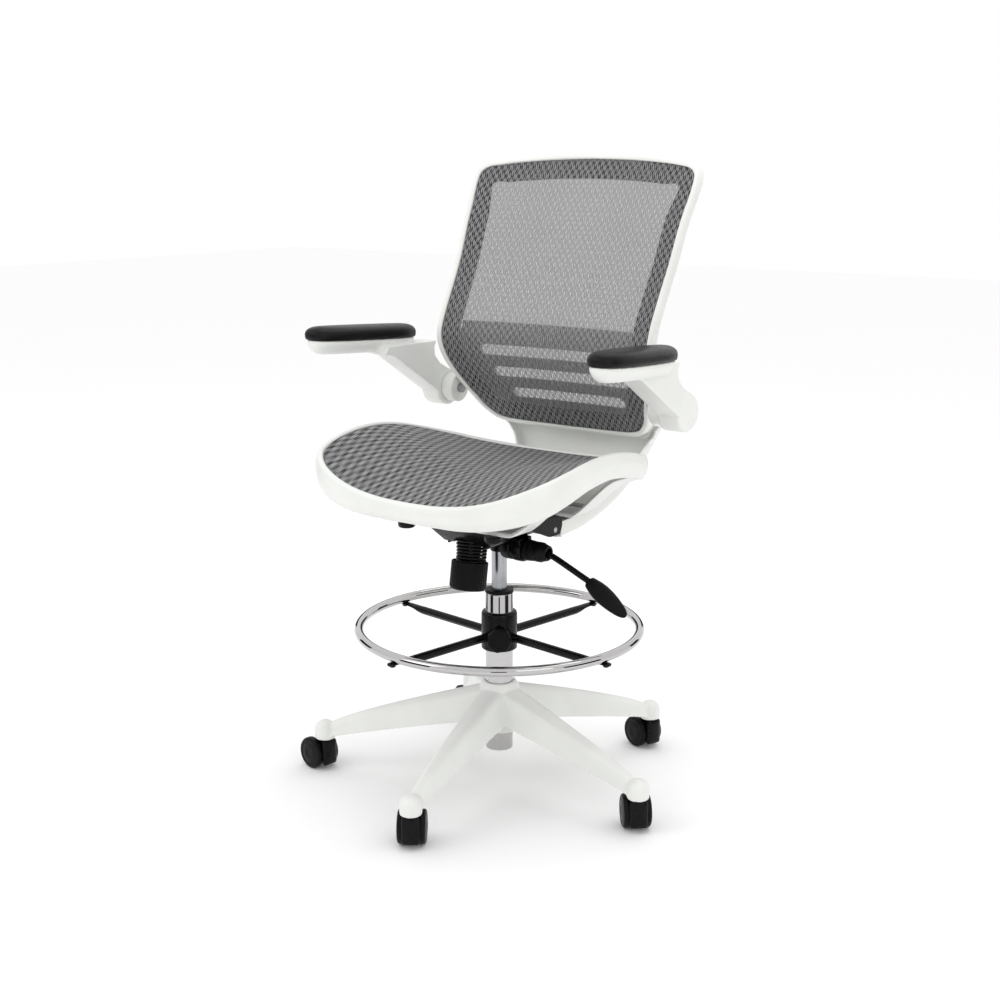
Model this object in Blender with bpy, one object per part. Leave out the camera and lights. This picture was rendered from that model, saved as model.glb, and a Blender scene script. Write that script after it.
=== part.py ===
"""Drafting chair: mesh seat and back on a tilt mechanism, gas lift with a foot ring, five-leg base on casters.

Metres, +Z up. The column's axis is the Z axis, the floor is Z = 0, and the sitter faces -Y. The heights below are
measured from the base's datum plane, which lies DATUM above the floor. The base's empty carries everything up by it.
"""

import math

import bmesh
import bpy
from mathutils import Matrix, Vector

GAP = 0.0003  # between touching pieces
DATUM = 0.0165

# Base and casters
LEGS = 5
FIRST_LEG = math.radians(63.9)
STEM_CIRCLE = 0.3305
CAP_RADIUS = 0.0195
CAP_BOTTOM = 0.0437
CAP_TOP = 0.0790
HUB_TOP = 0.1755
HUB_BOTTOM = 0.084
WHEEL_RADIUS = 0.0295
WHEEL_WIDTH = 0.0145
WHEEL_INNER_FACE = 0.0108
WHEEL_SEGMENTS = 20
AXLE_Z = WHEEL_RADIUS - DATUM
TRAIL = 0.020
STEM_RADIUS = 0.0055
AXLE_RADIUS = 0.003
CASTER_TRAILS = [161.3, 146.3, 170.3, 124.3, 131.3]  # degrees, in the order of the legs

# Column
COLUMN_RADIUS = 0.025
COLUMN_WALL = 0.0025
COLUMN_BOTTOM = 0.046
COLUMN_TOP = 0.342
PISTON_TUBE_RADIUS = 0.014
PISTON_TUBE_BOTTOM = 0.105
PISTON_TUBE_TOP = 0.446
ROD_RADIUS = 0.005

# Foot ring
RING_RADIUS = 0.254
RING_TUBE = 0.0083
RING_Z = 0.278
SLEEVE_BOTTOM = 0.237
SLEEVE_TOP = 0.3085
SLEEVE_RADIUS = 0.0325
SPOKE_Z = 0.2635
SPOKE_RADIUS = 0.0075
FIRST_SPOKE = math.radians(81.3)
CLAMP_DIRECTION = math.radians(306.3)
CLAMP_Z = 0.2645
CLAMP_RADIUS = 0.0225

# Tilt mechanism
PAN_BOTTOM = 0.450
PAN_TOP = 0.483
PAN_REAR_TOP = 0.478
PLATE_Z = 0.487
PLATE_THICK = 0.003
TILT_Y = 0.026
TILT_Z = 0.467
SHAFT_RADIUS = 0.005
SPRING_TOP = Vector((0, -0.0799, 0.4586))
SPRING_LEAN = math.radians(9.25)
SPRING_RADIUS = 0.026
SPRING_WIRE = 0.0025
SPRING_PITCH = 0.0060
SPRING_TURNS = 12
BOLT_RADIUS = 0.004
BOLT_HEAD = Vector((0, -0.0739, 0.4957))  # centre of the ball head, above the seat plate
BOLT_HEAD_RADIUS = 0.0095
KNOB_START = 0.0407  # along the bolt from SPRING_TOP
KNOB_LENGTH = 0.0501
KNOB_FLOOR = 0.0785
KNOB_RADIUS = 0.0325
LEVER_Z = 0.430
LEVER_PIVOT_X = 0.066
LEVER_ROD_RADIUS = 0.0055
PADDLE_START = Vector((0.192, 0, 0.3931))
PADDLE_TIP = Vector((0.268, 0, 0.3435))
PADDLE_ROLL = math.radians(40)

# Seat, as half outlines from the front middle to the rear middle
SEAT_EDGE = [
    (0, -0.250, 0.550), (0.060, -0.2495, 0.552), (0.120, -0.247, 0.560), (0.168, -0.240, 0.573),
    (0.207, -0.226, 0.589), (0.236, -0.198, 0.605), (0.248, -0.155, 0.617), (0.251, -0.100, 0.626),
    (0.250, -0.040, 0.628), (0.247, 0.020, 0.621), (0.241, 0.068, 0.610), (0.228, 0.103, 0.600),
    (0.203, 0.130, 0.591), (0.160, 0.146, 0.583), (0.080, 0.153, 0.578), (0, 0.155, 0.577),
]
SEAT_BAND = [0.032, 0.034, 0.040, 0.046, 0.052, 0.055, 0.052, 0.046, 0.042, 0.041, 0.041, 0.040, 0.038, 0.034,
             0.030, 0.030]
SEAT_MIDDLE = 0.579
SHEET_THICK = 0.002

# Backrest, as (z, y) of the frame's front edge and (z, half width)
BACK_DEPTH = [
    (0.600, 0.212), (0.640, 0.185), (0.690, 0.150), (0.738, 0.125), (0.778, 0.115), (0.816, 0.125),
    (0.864, 0.149), (0.923, 0.180), (0.988, 0.208), (1.040, 0.235), (1.120, 0.275),
]
BACK_HOLLOW = 0.022  # how far the middle lies behind the sides
BACK_OUTLINE = [
    (0, 1.1145), (0.080, 1.1125), (0.150, 1.1080), (0.195, 1.1030), (0.224, 1.0970), (0.240, 1.0840),
    (0.244, 1.060), (0.2405, 1.015), (0.2375, 0.960), (0.2345, 0.890), (0.2335, 0.830), (0.2335, 0.775),
    (0.228, 0.738), (0.214, 0.700), (0.197, 0.662), (0.183, 0.634), (0.160, 0.614), (0.120, 0.607), (0, 0.604),
]
BACK_LIP = 0.009
BACK_FRAME_DEPTH = 0.027
BORDER_WIDTH = 0.036

# Bracket behind and below the back, as (y, z, half width) of its rear face
BRACKET_PATH = [
    (0.050, 0.447, 0.100), (0.090, 0.449, 0.101), (0.130, 0.454, 0.103), (0.170, 0.466, 0.107),
    (0.210, 0.485, 0.114), (0.243, 0.512, 0.124), (0.266, 0.545, 0.136), (0.278, 0.578, 0.150),
    (0.279, 0.604, 0.163), (0.273, 0.626, 0.176),
]
BRACKET_DEPTH = 0.030
BRACKET_WALL = 0.005
BRACE_PATH = [(0.2662, 0.600), (0.252, 0.632), (0.224, 0.669), (0.197, 0.711), (0.182, 0.752), (0.178, 0.806)]
BRACE_HALF_WIDTHS = [0.150, 0.172, 0.196, 0.212, 0.214, 0.200]
BRACE_THICK = 0.007
BRACE_SLOTS = [(0.669, 0.126), (0.711, 0.150), (0.753, 0.169)]  # height, half length
SLOT_HALF_HEIGHT = 0.010

# Arms
ARM_PIVOT_Y = 0.168
ARM_PIVOT_Z = 0.675
ARM_INNER_X = 0.2425
ARM_OUTER_X = 0.288
BOSS_RADIUS = 0.035
PIN_RADIUS = 0.006
PAD_LENGTH = 0.262
PAD_WIDTH = 0.080
PAD_MIDDLE = (0.292, -0.028)
PAD_TOE_OUT = math.radians(4.5)


# ---------------------------------------------------------------- materials

def make_material(name, colour, roughness, metallic=0.0):
    material = bpy.data.materials.new(name)
    material.use_nodes = True
    shader = material.node_tree.nodes["Principled BSDF"]
    shader.inputs["Base Color"].default_value = (*colour, 1)
    shader.inputs["Roughness"].default_value = roughness
    shader.inputs["Metallic"].default_value = metallic
    material.diffuse_color = (*colour, 1)
    return material


# ---------------------------------------------------------------- mesh tools

def new_mesh(name, points, faces):
    """A mesh with its faces turned outwards and its round stretches smooth."""
    mesh = bpy.data.meshes.new(name)
    mesh.from_pydata([tuple(p) for p in points], [], faces)
    edit = bmesh.new()
    edit.from_mesh(mesh)
    bmesh.ops.recalc_face_normals(edit, faces=edit.faces)
    if edit.calc_volume(signed=True) < 0:
        bmesh.ops.reverse_faces(edit, faces=edit.faces)
    edit.to_mesh(mesh)
    edit.free()
    mesh.shade_smooth()
    mesh.set_sharp_from_angle(angle=math.radians(35))
    return mesh


def loft(name, rings, closed=False):
    """Joins equal rings of points one after the other, and caps the two ends unless it is closed."""
    count = len(rings[0])
    points = [p for ring in rings for p in ring]
    faces = []
    for i in range(len(rings) if closed else len(rings) - 1):
        a, b = i * count, ((i + 1) % len(rings)) * count
        for j in range(count):
            k = (j + 1) % count
            faces.append((a + j, a + k, b + k, b + j))
    if not closed:
        faces.append(tuple(range(count)))
        faces.append(tuple(len(points) - count + j for j in range(count)))
    return new_mesh(name, points, faces)


def lathe(name, profile, segments, frame=None):
    """Turns a closed outline of (radius, height) points about the Z axis of a frame."""
    frame = frame or Matrix.Identity(4)
    points, rows = [], []
    for radius, height in profile:
        row = []
        for i in range(1 if radius < 1e-6 else segments):
            angle = math.tau * (i + 0.5) / segments
            row.append(len(points))
            points.append(frame @ Vector((radius * math.cos(angle), radius * math.sin(angle), height)))
        rows.append(row)
    faces = []
    for i, row in enumerate(rows):
        after = rows[(i + 1) % len(rows)]
        for j in range(segments):
            k = (j + 1) % segments
            if len(row) > 1 and len(after) > 1:
                faces.append((row[j], row[k], after[k], after[j]))
            elif len(row) > 1:
                faces.append((row[j], row[k], after[0]))
            elif len(after) > 1:
                faces.append((row[0], after[k], after[j]))
    return new_mesh(name, points, faces)


def tube(name, path, radius, sides, closed=False):
    """A round bar along a path of points, its rings kept from twisting."""
    path = [Vector(p) for p in path]
    last = len(path) - 1
    rings, across = [], None
    for i, point in enumerate(path):
        before = path[i - 1] if i or closed else point
        after = path[(i + 1) % len(path)] if i < last or closed else point
        along = (after - before).normalized()
        if across is None:
            across = along.orthogonal().normalized()
        across = (across - along * across.dot(along)).normalized()
        up = along.cross(across)
        turn = [math.tau * j / sides for j in range(sides)]
        rings.append([point + radius * (across * math.cos(t) + up * math.sin(t)) for t in turn])
    return loft(name, rings, closed)


def plate(name, outline, low, high, frame=None):
    """A flat outline of (u, v) points, thick from low to high along the frame's Z axis."""
    frame = frame or Matrix.Identity(4)
    return loft(name, [[frame @ Vector((u, v, w)) for u, v in outline] for w in (low, high)])


def block(name, low, high):
    outline = [(low[0], low[1]), (high[0], low[1]), (high[0], high[1]), (low[0], high[1])]
    return plate(name, outline, low[2], high[2])


def axis_frame(origin, direction):
    """A frame at origin whose Z axis points along direction."""
    turn = Vector(direction).to_track_quat("Z", "Y").to_matrix().to_4x4()
    return Matrix.Translation(Vector(origin)) @ turn


def disc(radius, low, high):
    """The outline of a plain cylinder, for lathe."""
    return [(0, low), (radius, low), (radius, high), (0, high)]


def washer(inner, outer, low, high):
    return [(inner, low), (outer, low), (outer, high), (inner, high)]


def combine(meshes, operation):
    """The first mesh with the others joined to it or cut from it, one after the other."""
    base = bpy.data.objects.new("base", meshes[0])
    bpy.context.scene.collection.objects.link(base)
    helpers = []
    for mesh in meshes[1:]:
        helper = bpy.data.objects.new("helper", mesh)
        helper.hide_render = True
        helper.display_type = "WIRE"
        bpy.context.scene.collection.objects.link(helper)
        helpers.append(helper)
        step = base.modifiers.new(operation.lower(), "BOOLEAN")
        step.operation = operation
        step.solver = "EXACT"
        step.object = helper
    graph = bpy.context.evaluated_depsgraph_get()
    result = bpy.data.meshes.new_from_object(base.evaluated_get(graph))
    result.name = meshes[0].name
    for helper in [base, *helpers]:
        bpy.data.objects.remove(helper)
    result.shade_smooth()
    result.set_sharp_from_angle(angle=math.radians(35))
    return result


def triangulated(mesh):
    """The mesh with its bent faces split, which keeps a Boolean on them closed."""
    edit = bmesh.new()
    edit.from_mesh(mesh)
    bmesh.ops.triangulate(edit, faces=edit.faces)
    edit.to_mesh(mesh)
    edit.free()
    return mesh


def fuse(*meshes):
    return combine(meshes, "UNION")


def cut(*meshes):
    return combine(meshes, "DIFFERENCE")


# ---------------------------------------------------------------- curves

def smooth(knots, per_span):
    """Points along a Catmull-Rom curve through tuples of numbers."""
    knots = [Vector(k) for k in knots]
    padded = [2 * knots[0] - knots[1], *knots, 2 * knots[-1] - knots[-2]]
    points = []
    for i in range(len(knots) - 1):
        a, b, c, d = padded[i:i + 4]
        for step in range(per_span):
            t = step / per_span
            points.append(0.5 * (2 * b + (c - a) * t + (2 * a - 5 * b + 4 * c - d) * t * t
                                 + (3 * b - a - 3 * c + d) * t ** 3))
    return points + [knots[-1]]


def interpolate(table, value):
    """A straight-line reading of a table of (key, value) pairs sorted by key."""
    if value <= table[0][0]:
        return table[0][1]
    for (a, low), (b, high) in zip(table, table[1:]):
        if value <= b:
            return low + (high - low) * (value - a) / (b - a)
    return table[-1][1]


def mirrored_loop(half):
    """A closed loop from the half of it at x >= 0, whose two ends lie on the middle plane."""
    other = [Vector((-p[0], *p[1:])) for p in reversed(half[1:-1])]
    return [Vector(p) for p in half] + other


def rounded(half_width, half_height, corner):
    """A rectangle with its corners cut, as eight (u, v) points."""
    w, h, c = half_width, half_height, corner
    return [(-w + c, -h), (w - c, -h), (w, -h + c), (w, h - c), (w - c, h), (-w + c, h), (-w, h - c), (-w, -h + c)]


# ---------------------------------------------------------------- scene tools

class Body:
    """An empty on a joint's axis. The pieces that move together hang from it."""

    def __init__(self, name, origin=(0, 0, 0), parent=None, turn=0.0):
        self.origin = Vector(origin)
        self.empty = bpy.data.objects.new(name + "_joint", None)
        self.empty.empty_display_size = 0.02
        bpy.context.scene.collection.objects.link(self.empty)
        self.empty.location = self.origin - (parent.origin if parent else Vector())
        self.empty.rotation_euler.z = turn
        if parent:
            self.empty.parent = parent.empty

    def add(self, name, mesh, material):
        """A piece whose mesh is in the chair's frame, given its origin on this body's axis."""
        mesh.transform(Matrix.Translation(-self.origin))
        return self.hang(name, mesh, material)

    def hang(self, name, mesh, material, location=(0, 0, 0), turn=0.0):
        """A piece whose mesh is in the body's own frame."""
        mesh.name = name
        if not mesh.materials:
            mesh.materials.append(material)
        piece = bpy.data.objects.new(name, mesh)
        bpy.context.scene.collection.objects.link(piece)
        piece.parent = self.empty
        piece.location = location
        piece.rotation_euler.z = turn
        return piece


# ---------------------------------------------------------------- base and column

def leg_ring(radius, direction):
    """The leg's section at a radius: a channel, open below, with a rounded roof."""
    inner, outer = 0.0275, STEM_CIRCLE - 0.010
    rise = (outer - radius) / (outer - inner)
    top = 0.0737 + 0.0926 * rise ** 0.81
    bottom = 0.0487 + 0.0580 * rise ** 0.9
    roof_half = 0.0115 + 0.0135 * rise ** 1.1
    foot_half = 0.0150 + 0.0190 * rise ** 1.1
    wall, roof = 0.0035, 0.0045
    belt_half = roof_half * 0.45 + foot_half * 0.55
    outside = [
        (-foot_half, bottom), (-belt_half, (bottom + top) / 2), (-roof_half, top - 0.007),
        (-roof_half * 0.62, top - 0.0015), (0, top), (roof_half * 0.62, top - 0.0015),
        (roof_half, top - 0.007), (belt_half, (bottom + top) / 2), (foot_half, bottom),
    ]
    inside = [
        (foot_half - wall, bottom), (roof_half - wall, top - 0.007 - roof),
        (-roof_half + wall, top - 0.007 - roof), (-foot_half + wall, bottom),
    ]
    along = Vector((math.cos(direction), math.sin(direction), 0))
    across = Vector((-along.y, along.x, 0))
    return [along * radius + across * u + Vector((0, 0, z)) for u, z in outside + inside]


def leg_directions():
    return [FIRST_LEG + math.tau * i / LEGS for i in range(LEGS)]


def make_base(body, plastic):
    bore = COLUMN_RADIUS + GAP
    hub = lathe("hub", [
        (bore, HUB_BOTTOM), (0.041, HUB_BOTTOM), (0.045, 0.094), (0.0445, 0.120), (0.041, 0.146),
        (0.036, 0.163), (0.0325, 0.171), (0.0300, HUB_TOP), (bore, HUB_TOP),
    ], 24)
    shapes = [hub]
    stations = [0.0275, 0.065, 0.120, 0.190, 0.260, STEM_CIRCLE - 0.010]
    for direction in leg_directions():
        shapes.append(loft("leg", [leg_ring(r, direction) for r in stations]))
        hole = STEM_RADIUS + GAP
        crown = [(CAP_RADIUS * math.cos(t), 0.0625 + (CAP_TOP - 0.0625) * math.sin(t)) for t in (0, 0.5, 0.95)]
        socket = [(0, 0.0710), (hole, 0.0710), (hole, CAP_BOTTOM), (CAP_RADIUS, CAP_BOTTOM), *crown, (0, CAP_TOP)]
        centre = Matrix.Translation((STEM_CIRCLE * math.cos(direction), STEM_CIRCLE * math.sin(direction), 0))
        shapes.append(lathe("socket", socket, 12, centre))
    body.add("base_star", fuse(*shapes), plastic)


def make_column(root, rod_body, lift_body, chrome, steel, black):
    inside = COLUMN_RADIUS - COLUMN_WALL
    floor = COLUMN_BOTTOM + 0.004
    root.add("column_tube", lathe("column_tube", [
        (0.0075, COLUMN_BOTTOM), (0.0235, COLUMN_BOTTOM), (COLUMN_RADIUS, COLUMN_BOTTOM + 0.002),
        (COLUMN_RADIUS, COLUMN_TOP), (inside, COLUMN_TOP), (inside, floor), (0.0075, floor),
    ], 24), chrome)
    guide = PISTON_TUBE_RADIUS + GAP
    root.add("column_bushing", lathe("column_bushing", [
        (guide, 0.250), (inside - GAP, 0.250), (inside - GAP, COLUMN_TOP + GAP),
        (COLUMN_RADIUS + 0.0008, COLUMN_TOP + GAP), (COLUMN_RADIUS + 0.0008, 0.3475), (COLUMN_RADIUS - 0.001, 0.349),
        (guide, 0.349),
    ], 24), black)
    root.add("thrust_bearing", lathe("thrust_bearing", washer(0.0075, 0.014, floor + GAP, floor + 0.006), 20), steel)

    rod_body.add("piston_rod", lathe("piston_rod", [
        (0, 0.0385), (ROD_RADIUS, 0.0385), (ROD_RADIUS, 0.0408), (0.0038, 0.0408), (0.0038, 0.0435),
        (0.0068, 0.0435), (0.0068, floor + 0.0063), (0.0125, floor + 0.0063), (0.0125, floor + 0.009),
        (ROD_RADIUS, floor + 0.011), (ROD_RADIUS, 0.285), (0.0118, 0.285), (0.0118, 0.300), (0, 0.300),
    ], 12), steel)
    rod_body.add("rod_clip", lathe("rod_clip", washer(0.0038 + GAP, 0.0105, 0.0411, 0.0432), 16), steel)

    bore = PISTON_TUBE_RADIUS - 0.0018
    lift_body.add("pressure_tube", lathe("pressure_tube", [
        (ROD_RADIUS + GAP, PISTON_TUBE_BOTTOM), (PISTON_TUBE_RADIUS - 0.001, PISTON_TUBE_BOTTOM),
        (PISTON_TUBE_RADIUS, PISTON_TUBE_BOTTOM + 0.002), (PISTON_TUBE_RADIUS, 0.420), (0.0132, PISTON_TUBE_TOP),
        (0.0043, PISTON_TUBE_TOP), (0.0043, PISTON_TUBE_TOP - 0.010), (bore, PISTON_TUBE_TOP - 0.014),
        (bore, PISTON_TUBE_BOTTOM + 0.010), (ROD_RADIUS + GAP, PISTON_TUBE_BOTTOM + 0.010),
    ], 20), steel)


def make_casters(root, black, rubber, steel):
    """The same five twin-wheel casters, each turned its own way about its stem."""
    # x, half width, lowest and highest height above the floor
    stations = [
        (-0.0175, 0.0080, 0.0200, 0.0540), (-0.0155, 0.0130, 0.0130, 0.0585), (-0.0130, 0.0152, 0.0100, 0.0590),
        (-0.0108, 0.0152, 0.0095, 0.0590), (-0.0105, 0.0098, 0.0090, 0.0590), (0.0080, 0.0098, 0.0080, 0.0590),
        (0.0220, 0.0098, 0.0080, 0.0550), (0.0350, 0.0090, 0.0150, 0.0440), (0.0410, 0.0070, 0.0240, 0.0350),
    ]
    rings = []
    for x, half, low, high in stations:
        outline = rounded(half, (high - low) / 2, 0.0025)
        rings.append([Vector((x, u, v + (low + high) / 2 - DATUM)) for u, v in outline])
    across = axis_frame((TRAIL, 0, AXLE_Z), (0, 1, 0))
    hood = cut(
        loft("hood", rings),
        lathe("axle_hole", disc(AXLE_RADIUS + GAP, -0.02, 0.02), 12, across),
        lathe("stem_hole", disc(STEM_RADIUS + GAP, 0.0237, 0.06), 12),
    )
    stem = lathe("stem", [
        (0, 0.0240), (STEM_RADIUS, 0.0240), (STEM_RADIUS, 0.0630), (0.0045, 0.0640), (0.0045, 0.0660),
        (0.0040, 0.0700), (0, 0.0700),
    ], 12)
    axle = lathe("axle", disc(AXLE_RADIUS, -0.0215, 0.0215), 10, axis_frame((0, 0, 0), (0, 1, 0)))
    rim = WHEEL_RADIUS / math.cos(math.pi / WHEEL_SEGMENTS)
    face = WHEEL_WIDTH
    wheel_profile = [
        (AXLE_RADIUS + 0.0005, 0), (rim - 0.003, 0), (rim, 0.003), (rim, face - 0.006), (rim - 0.002, face - 0.0025),
        (rim - 0.007, face - 0.0005), (0, face), (0, face - 0.0030), (AXLE_RADIUS + 0.0005, face - 0.0030),
    ]
    # The half step puts one flat of the tread straight down.
    flat_down = Matrix.Rotation(math.pi / WHEEL_SEGMENTS, 4, "Y")
    wheels = {}
    for side in (1, -1):
        outwards = axis_frame((0, side * WHEEL_INNER_FACE, 0), (0, side, 0))
        wheels[side] = lathe("wheel", wheel_profile, WHEEL_SEGMENTS, outwards)
        lowest = min(v.co.z for v in wheels[side].vertices)
        if lowest < -WHEEL_RADIUS - 1e-5:
            wheels[side].transform(flat_down)
    for i, direction in enumerate(leg_directions()):
        name = f"caster_{i + 1}"
        stem_foot = (STEM_CIRCLE * math.cos(direction), STEM_CIRCLE * math.sin(direction), 0)
        body = Body(name, stem_foot, root, math.radians(CASTER_TRAILS[i]))
        body.hang(f"{name}_hood", hood, black)
        body.hang(f"{name}_stem", stem, steel)
        body.hang(f"{name}_axle", axle, steel, (TRAIL, 0, AXLE_Z))
        body.hang(f"{name}_wheel_left", wheels[1], rubber, (TRAIL, 0, AXLE_Z))
        body.hang(f"{name}_wheel_right", wheels[-1], rubber, (TRAIL, 0, AXLE_Z))


# ---------------------------------------------------------------- foot ring

def make_foot_ring(root, chrome, black):
    body = Body("foot_ring", (0, 0, CLAMP_Z), root)
    circle = [math.tau * i / 48 for i in range(48)]
    path = [(RING_RADIUS * math.cos(t), RING_RADIUS * math.sin(t), RING_Z) for t in circle]
    body.add("foot_ring", tube("foot_ring", path, RING_TUBE, 8, closed=True), chrome)

    shapes = [lathe("sleeve", washer(COLUMN_RADIUS + 0.0005, SLEEVE_RADIUS, SLEEVE_BOTTOM, SLEEVE_TOP), 32)]
    tab_top = RING_Z - RING_TUBE - GAP
    for i in range(4):
        direction = FIRST_SPOKE + math.pi / 2 * i
        along = Vector((math.cos(direction), math.sin(direction), 0))
        across = Vector((-along.y, along.x, 0))
        stations = [
            (0.0285, SPOKE_RADIUS, SPOKE_RADIUS, SPOKE_Z), (0.222, SPOKE_RADIUS, SPOKE_RADIUS, SPOKE_Z),
            (0.236, 0.0085, 0.0025, tab_top - 0.0025), (0.260, 0.0085, 0.0025, tab_top - 0.0025),
            (0.265, 0.0050, 0.0022, tab_top - 0.0025),
        ]
        rings = []
        for radius, half, high, z in stations:
            turn = [math.tau * (j + 0.5) / 8 for j in range(8)]
            rings.append([along * radius + across * half * math.cos(t) + Vector((0, 0, z + high * math.sin(t)))
                          for t in turn])
        shapes.append(loft("spoke", rings))
        screw = axis_frame(along * 0.2570 + Vector((0, 0, tab_top - 0.0075)), (0, 0, 1))
        shapes.append(lathe("screw_head", disc(0.0055, 0, 0.006), 12, screw))
    outwards = Vector((math.cos(CLAMP_DIRECTION), math.sin(CLAMP_DIRECTION), 0))
    clamp_frame = axis_frame(Vector((0, 0, CLAMP_Z)), outwards)
    hole = lathe("clamp_hole", disc(0.0045, 0.02, 0.05), 12, clamp_frame)
    body.add("ring_spider", cut(fuse(*shapes), hole), black)

    lobes = []
    for i in range(42):
        angle = math.tau * i / 42
        radius = CLAMP_RADIUS * (1 - 0.07 * (0.5 - 0.5 * math.cos(7 * angle)) ** 0.8)
        lobes.append((radius * math.cos(angle), radius * math.sin(angle)))
    rings = []
    for scale, height in [(0.50, 0.0340), (0.62, 0.0375), (0.90, 0.0385), (1.0, 0.0415), (1.0, 0.0500),
                          (0.93, 0.0530), (0.60, 0.0540)]:
        rings.append([clamp_frame @ Vector((u * scale, v * scale, height)) for u, v in lobes])
    screw = lathe("clamp_screw", disc(0.004, COLUMN_RADIUS + GAP, 0.036), 12, clamp_frame)
    clamp = Body("clamp_knob", (0, 0, CLAMP_Z), body)
    clamp.add("clamp_knob", fuse(loft("clamp_knob", rings), screw), black)


# ---------------------------------------------------------------- tilt mechanism

def spring_frame():
    """At the spring's upper end, with Z down along the tension bolt."""
    return axis_frame(SPRING_TOP, (0, -math.sin(SPRING_LEAN), -math.cos(SPRING_LEAN)))


def make_mechanism(lift, seat, black, steel):
    # The walls' rear edge is lower, to leave room for the seat plate as it tilts.
    outer = [[(-0.050, -0.096, PAN_BOTTOM), (0.050, -0.096, PAN_BOTTOM), (0.050, 0.040, PAN_BOTTOM),
              (-0.050, 0.040, PAN_BOTTOM)],
             [(-0.066, -0.128, PAN_TOP), (0.066, -0.128, PAN_TOP), (0.066, 0.046, PAN_REAR_TOP),
              (-0.066, 0.046, PAN_REAR_TOP)]]
    wall = 0.0025
    shell = loft("pan", [[Vector(p) for p in ring] for ring in outer])
    hollow = loft("pan_hollow", [
        [Vector((x * scale, y + (wall if y < 0 else -wall), z)) for x, y, _ in ring]
        for ring, z, scale in ((outer[0], PAN_BOTTOM + wall, 0.95), (outer[1], PAN_TOP + 0.001, 0.962))
    ])
    spring_room = lathe("spring_room", disc(0.0310, 0.0008, 0.05), 24, spring_frame())
    spring_seat = lathe("spring_seat", disc(0.0318, -0.004, 0.0008), 24, spring_frame())
    collar = lathe("collar", disc(0.0160, 0.4205, PAN_BOTTOM + 0.004), 24)
    boss = lathe("lever_boss", disc(0.0215, 0.026, 0.0600), 20, axis_frame((0, 0, LEVER_Z), (1, 0, 0)))
    bore = lathe("bore", disc(PISTON_TUBE_RADIUS + GAP, 0.41, 0.47), 28)
    saddle = block("saddle", (0.026, -0.0185, 0.440), (0.060, 0.0185, PAN_BOTTOM + 0.0015))
    lever_slot = block("lever_slot", (0.0, -0.0075, 0.4185), (0.075, 0.0075, 0.475))
    bolt_hole = lathe("bolt_hole", disc(0.0110, -0.03, 0.02), 16, spring_frame())
    shaft_hole = lathe("shaft_hole", disc(SHAFT_RADIUS + GAP, -0.12, 0.12), 16,
                       axis_frame((0, TILT_Y, TILT_Z), (1, 0, 0)))
    # The collar and boss go on after the hollow, then the bores pass through all of them.
    tray = cut(shell, hollow, spring_room)
    housing = cut(fuse(tray, spring_seat, collar, boss, saddle), bore, lever_slot, bolt_hole, shaft_hole)
    lift.add("mechanism_housing", housing, black)
    lift.add("pivot_shaft", lathe("pivot_shaft", disc(SHAFT_RADIUS, -0.1045, 0.1045), 16,
                                  axis_frame((0, TILT_Y, TILT_Z), (1, 0, 0))), steel)

    down = spring_frame()
    steps = SPRING_TURNS * 10
    coil = []
    for i in range(steps + 1):
        angle = math.tau * SPRING_TURNS * i / steps
        height = SPRING_WIRE + 0.0011 + SPRING_PITCH * SPRING_TURNS * i / steps
        coil.append(down @ Vector((SPRING_RADIUS * math.cos(angle), SPRING_RADIUS * math.sin(angle), height)))
    lift.add("tension_spring", tube("tension_spring", coil, SPRING_WIRE, 4), black)
    make_seat_plate(seat, black)
    # The bolt hangs from a ball head, so that it keeps its lean as the seat tilts.
    bolt_body = Body("tension_bolt", BOLT_HEAD, seat)
    head = (SPRING_TOP - BOLT_HEAD).length
    ball = [(BOLT_HEAD_RADIUS * math.sin(math.pi * i / 8), -head - BOLT_HEAD_RADIUS * math.cos(math.pi * i / 8))
            for i in range(7)]
    profile = [*ball, (BOLT_RADIUS, ball[-1][1]), (BOLT_RADIUS, KNOB_START + KNOB_LENGTH - 0.004),
               (0, KNOB_START + KNOB_LENGTH - 0.004)]
    bolt_body.add("tension_bolt", lathe("tension_bolt", profile, 16, down), steel)
    make_tension_knob(Body("tension_knob", SPRING_TOP, bolt_body), down, black)


def make_seat_plate(seat, black):
    top = PLATE_Z + PLATE_THICK
    flat = [(-0.066, -0.112), (-0.080, -0.152), (-0.094, -0.161), (-0.108, -0.152), (-0.110, -0.136),
            (-0.104, -0.095), (-0.104, 0.125)]
    flat = flat + [(-x, y) for x, y in reversed(flat)]
    shapes = [plate("seat_plate", flat, PLATE_Z, top)]
    for side in (-1, 1):
        x_low, x_high = sorted((side * 0.104, side * 0.101))
        profile = [(-0.048, 0.480), (0.008, 0.4570), (0.040, 0.4570), (0.047, 0.470), (0.047, 0.489), (-0.060, 0.489)]
        frame = Matrix(((0, 0, 1, 0), (1, 0, 0, 0), (0, 1, 0, 0), (0, 0, 0, 1)))
        flange = plate("flange", profile, x_low, x_high, frame)
        hole = lathe("shaft_hole", disc(SHAFT_RADIUS + GAP, -0.12, 0.12), 16,
                     axis_frame((0, TILT_Y, TILT_Z), (1, 0, 0)))
        foot = lathe("foot", [(0, 0.477), (0.012, 0.477), (0.0155, 0.4805), (0.0155, 0.4885), (0, 0.4885)], 16,
                     Matrix.Translation((side * 0.0944, -0.1447, 0)))
        shapes += [cut(flange, hole), foot]
    bolt_hole = lathe("bolt_hole", disc(0.0078, 0.48, 0.50), 16, Matrix.Translation((0, BOLT_HEAD.y, 0)))
    seat.add("seat_plate", cut(fuse(*shapes), bolt_hole), black)


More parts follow.
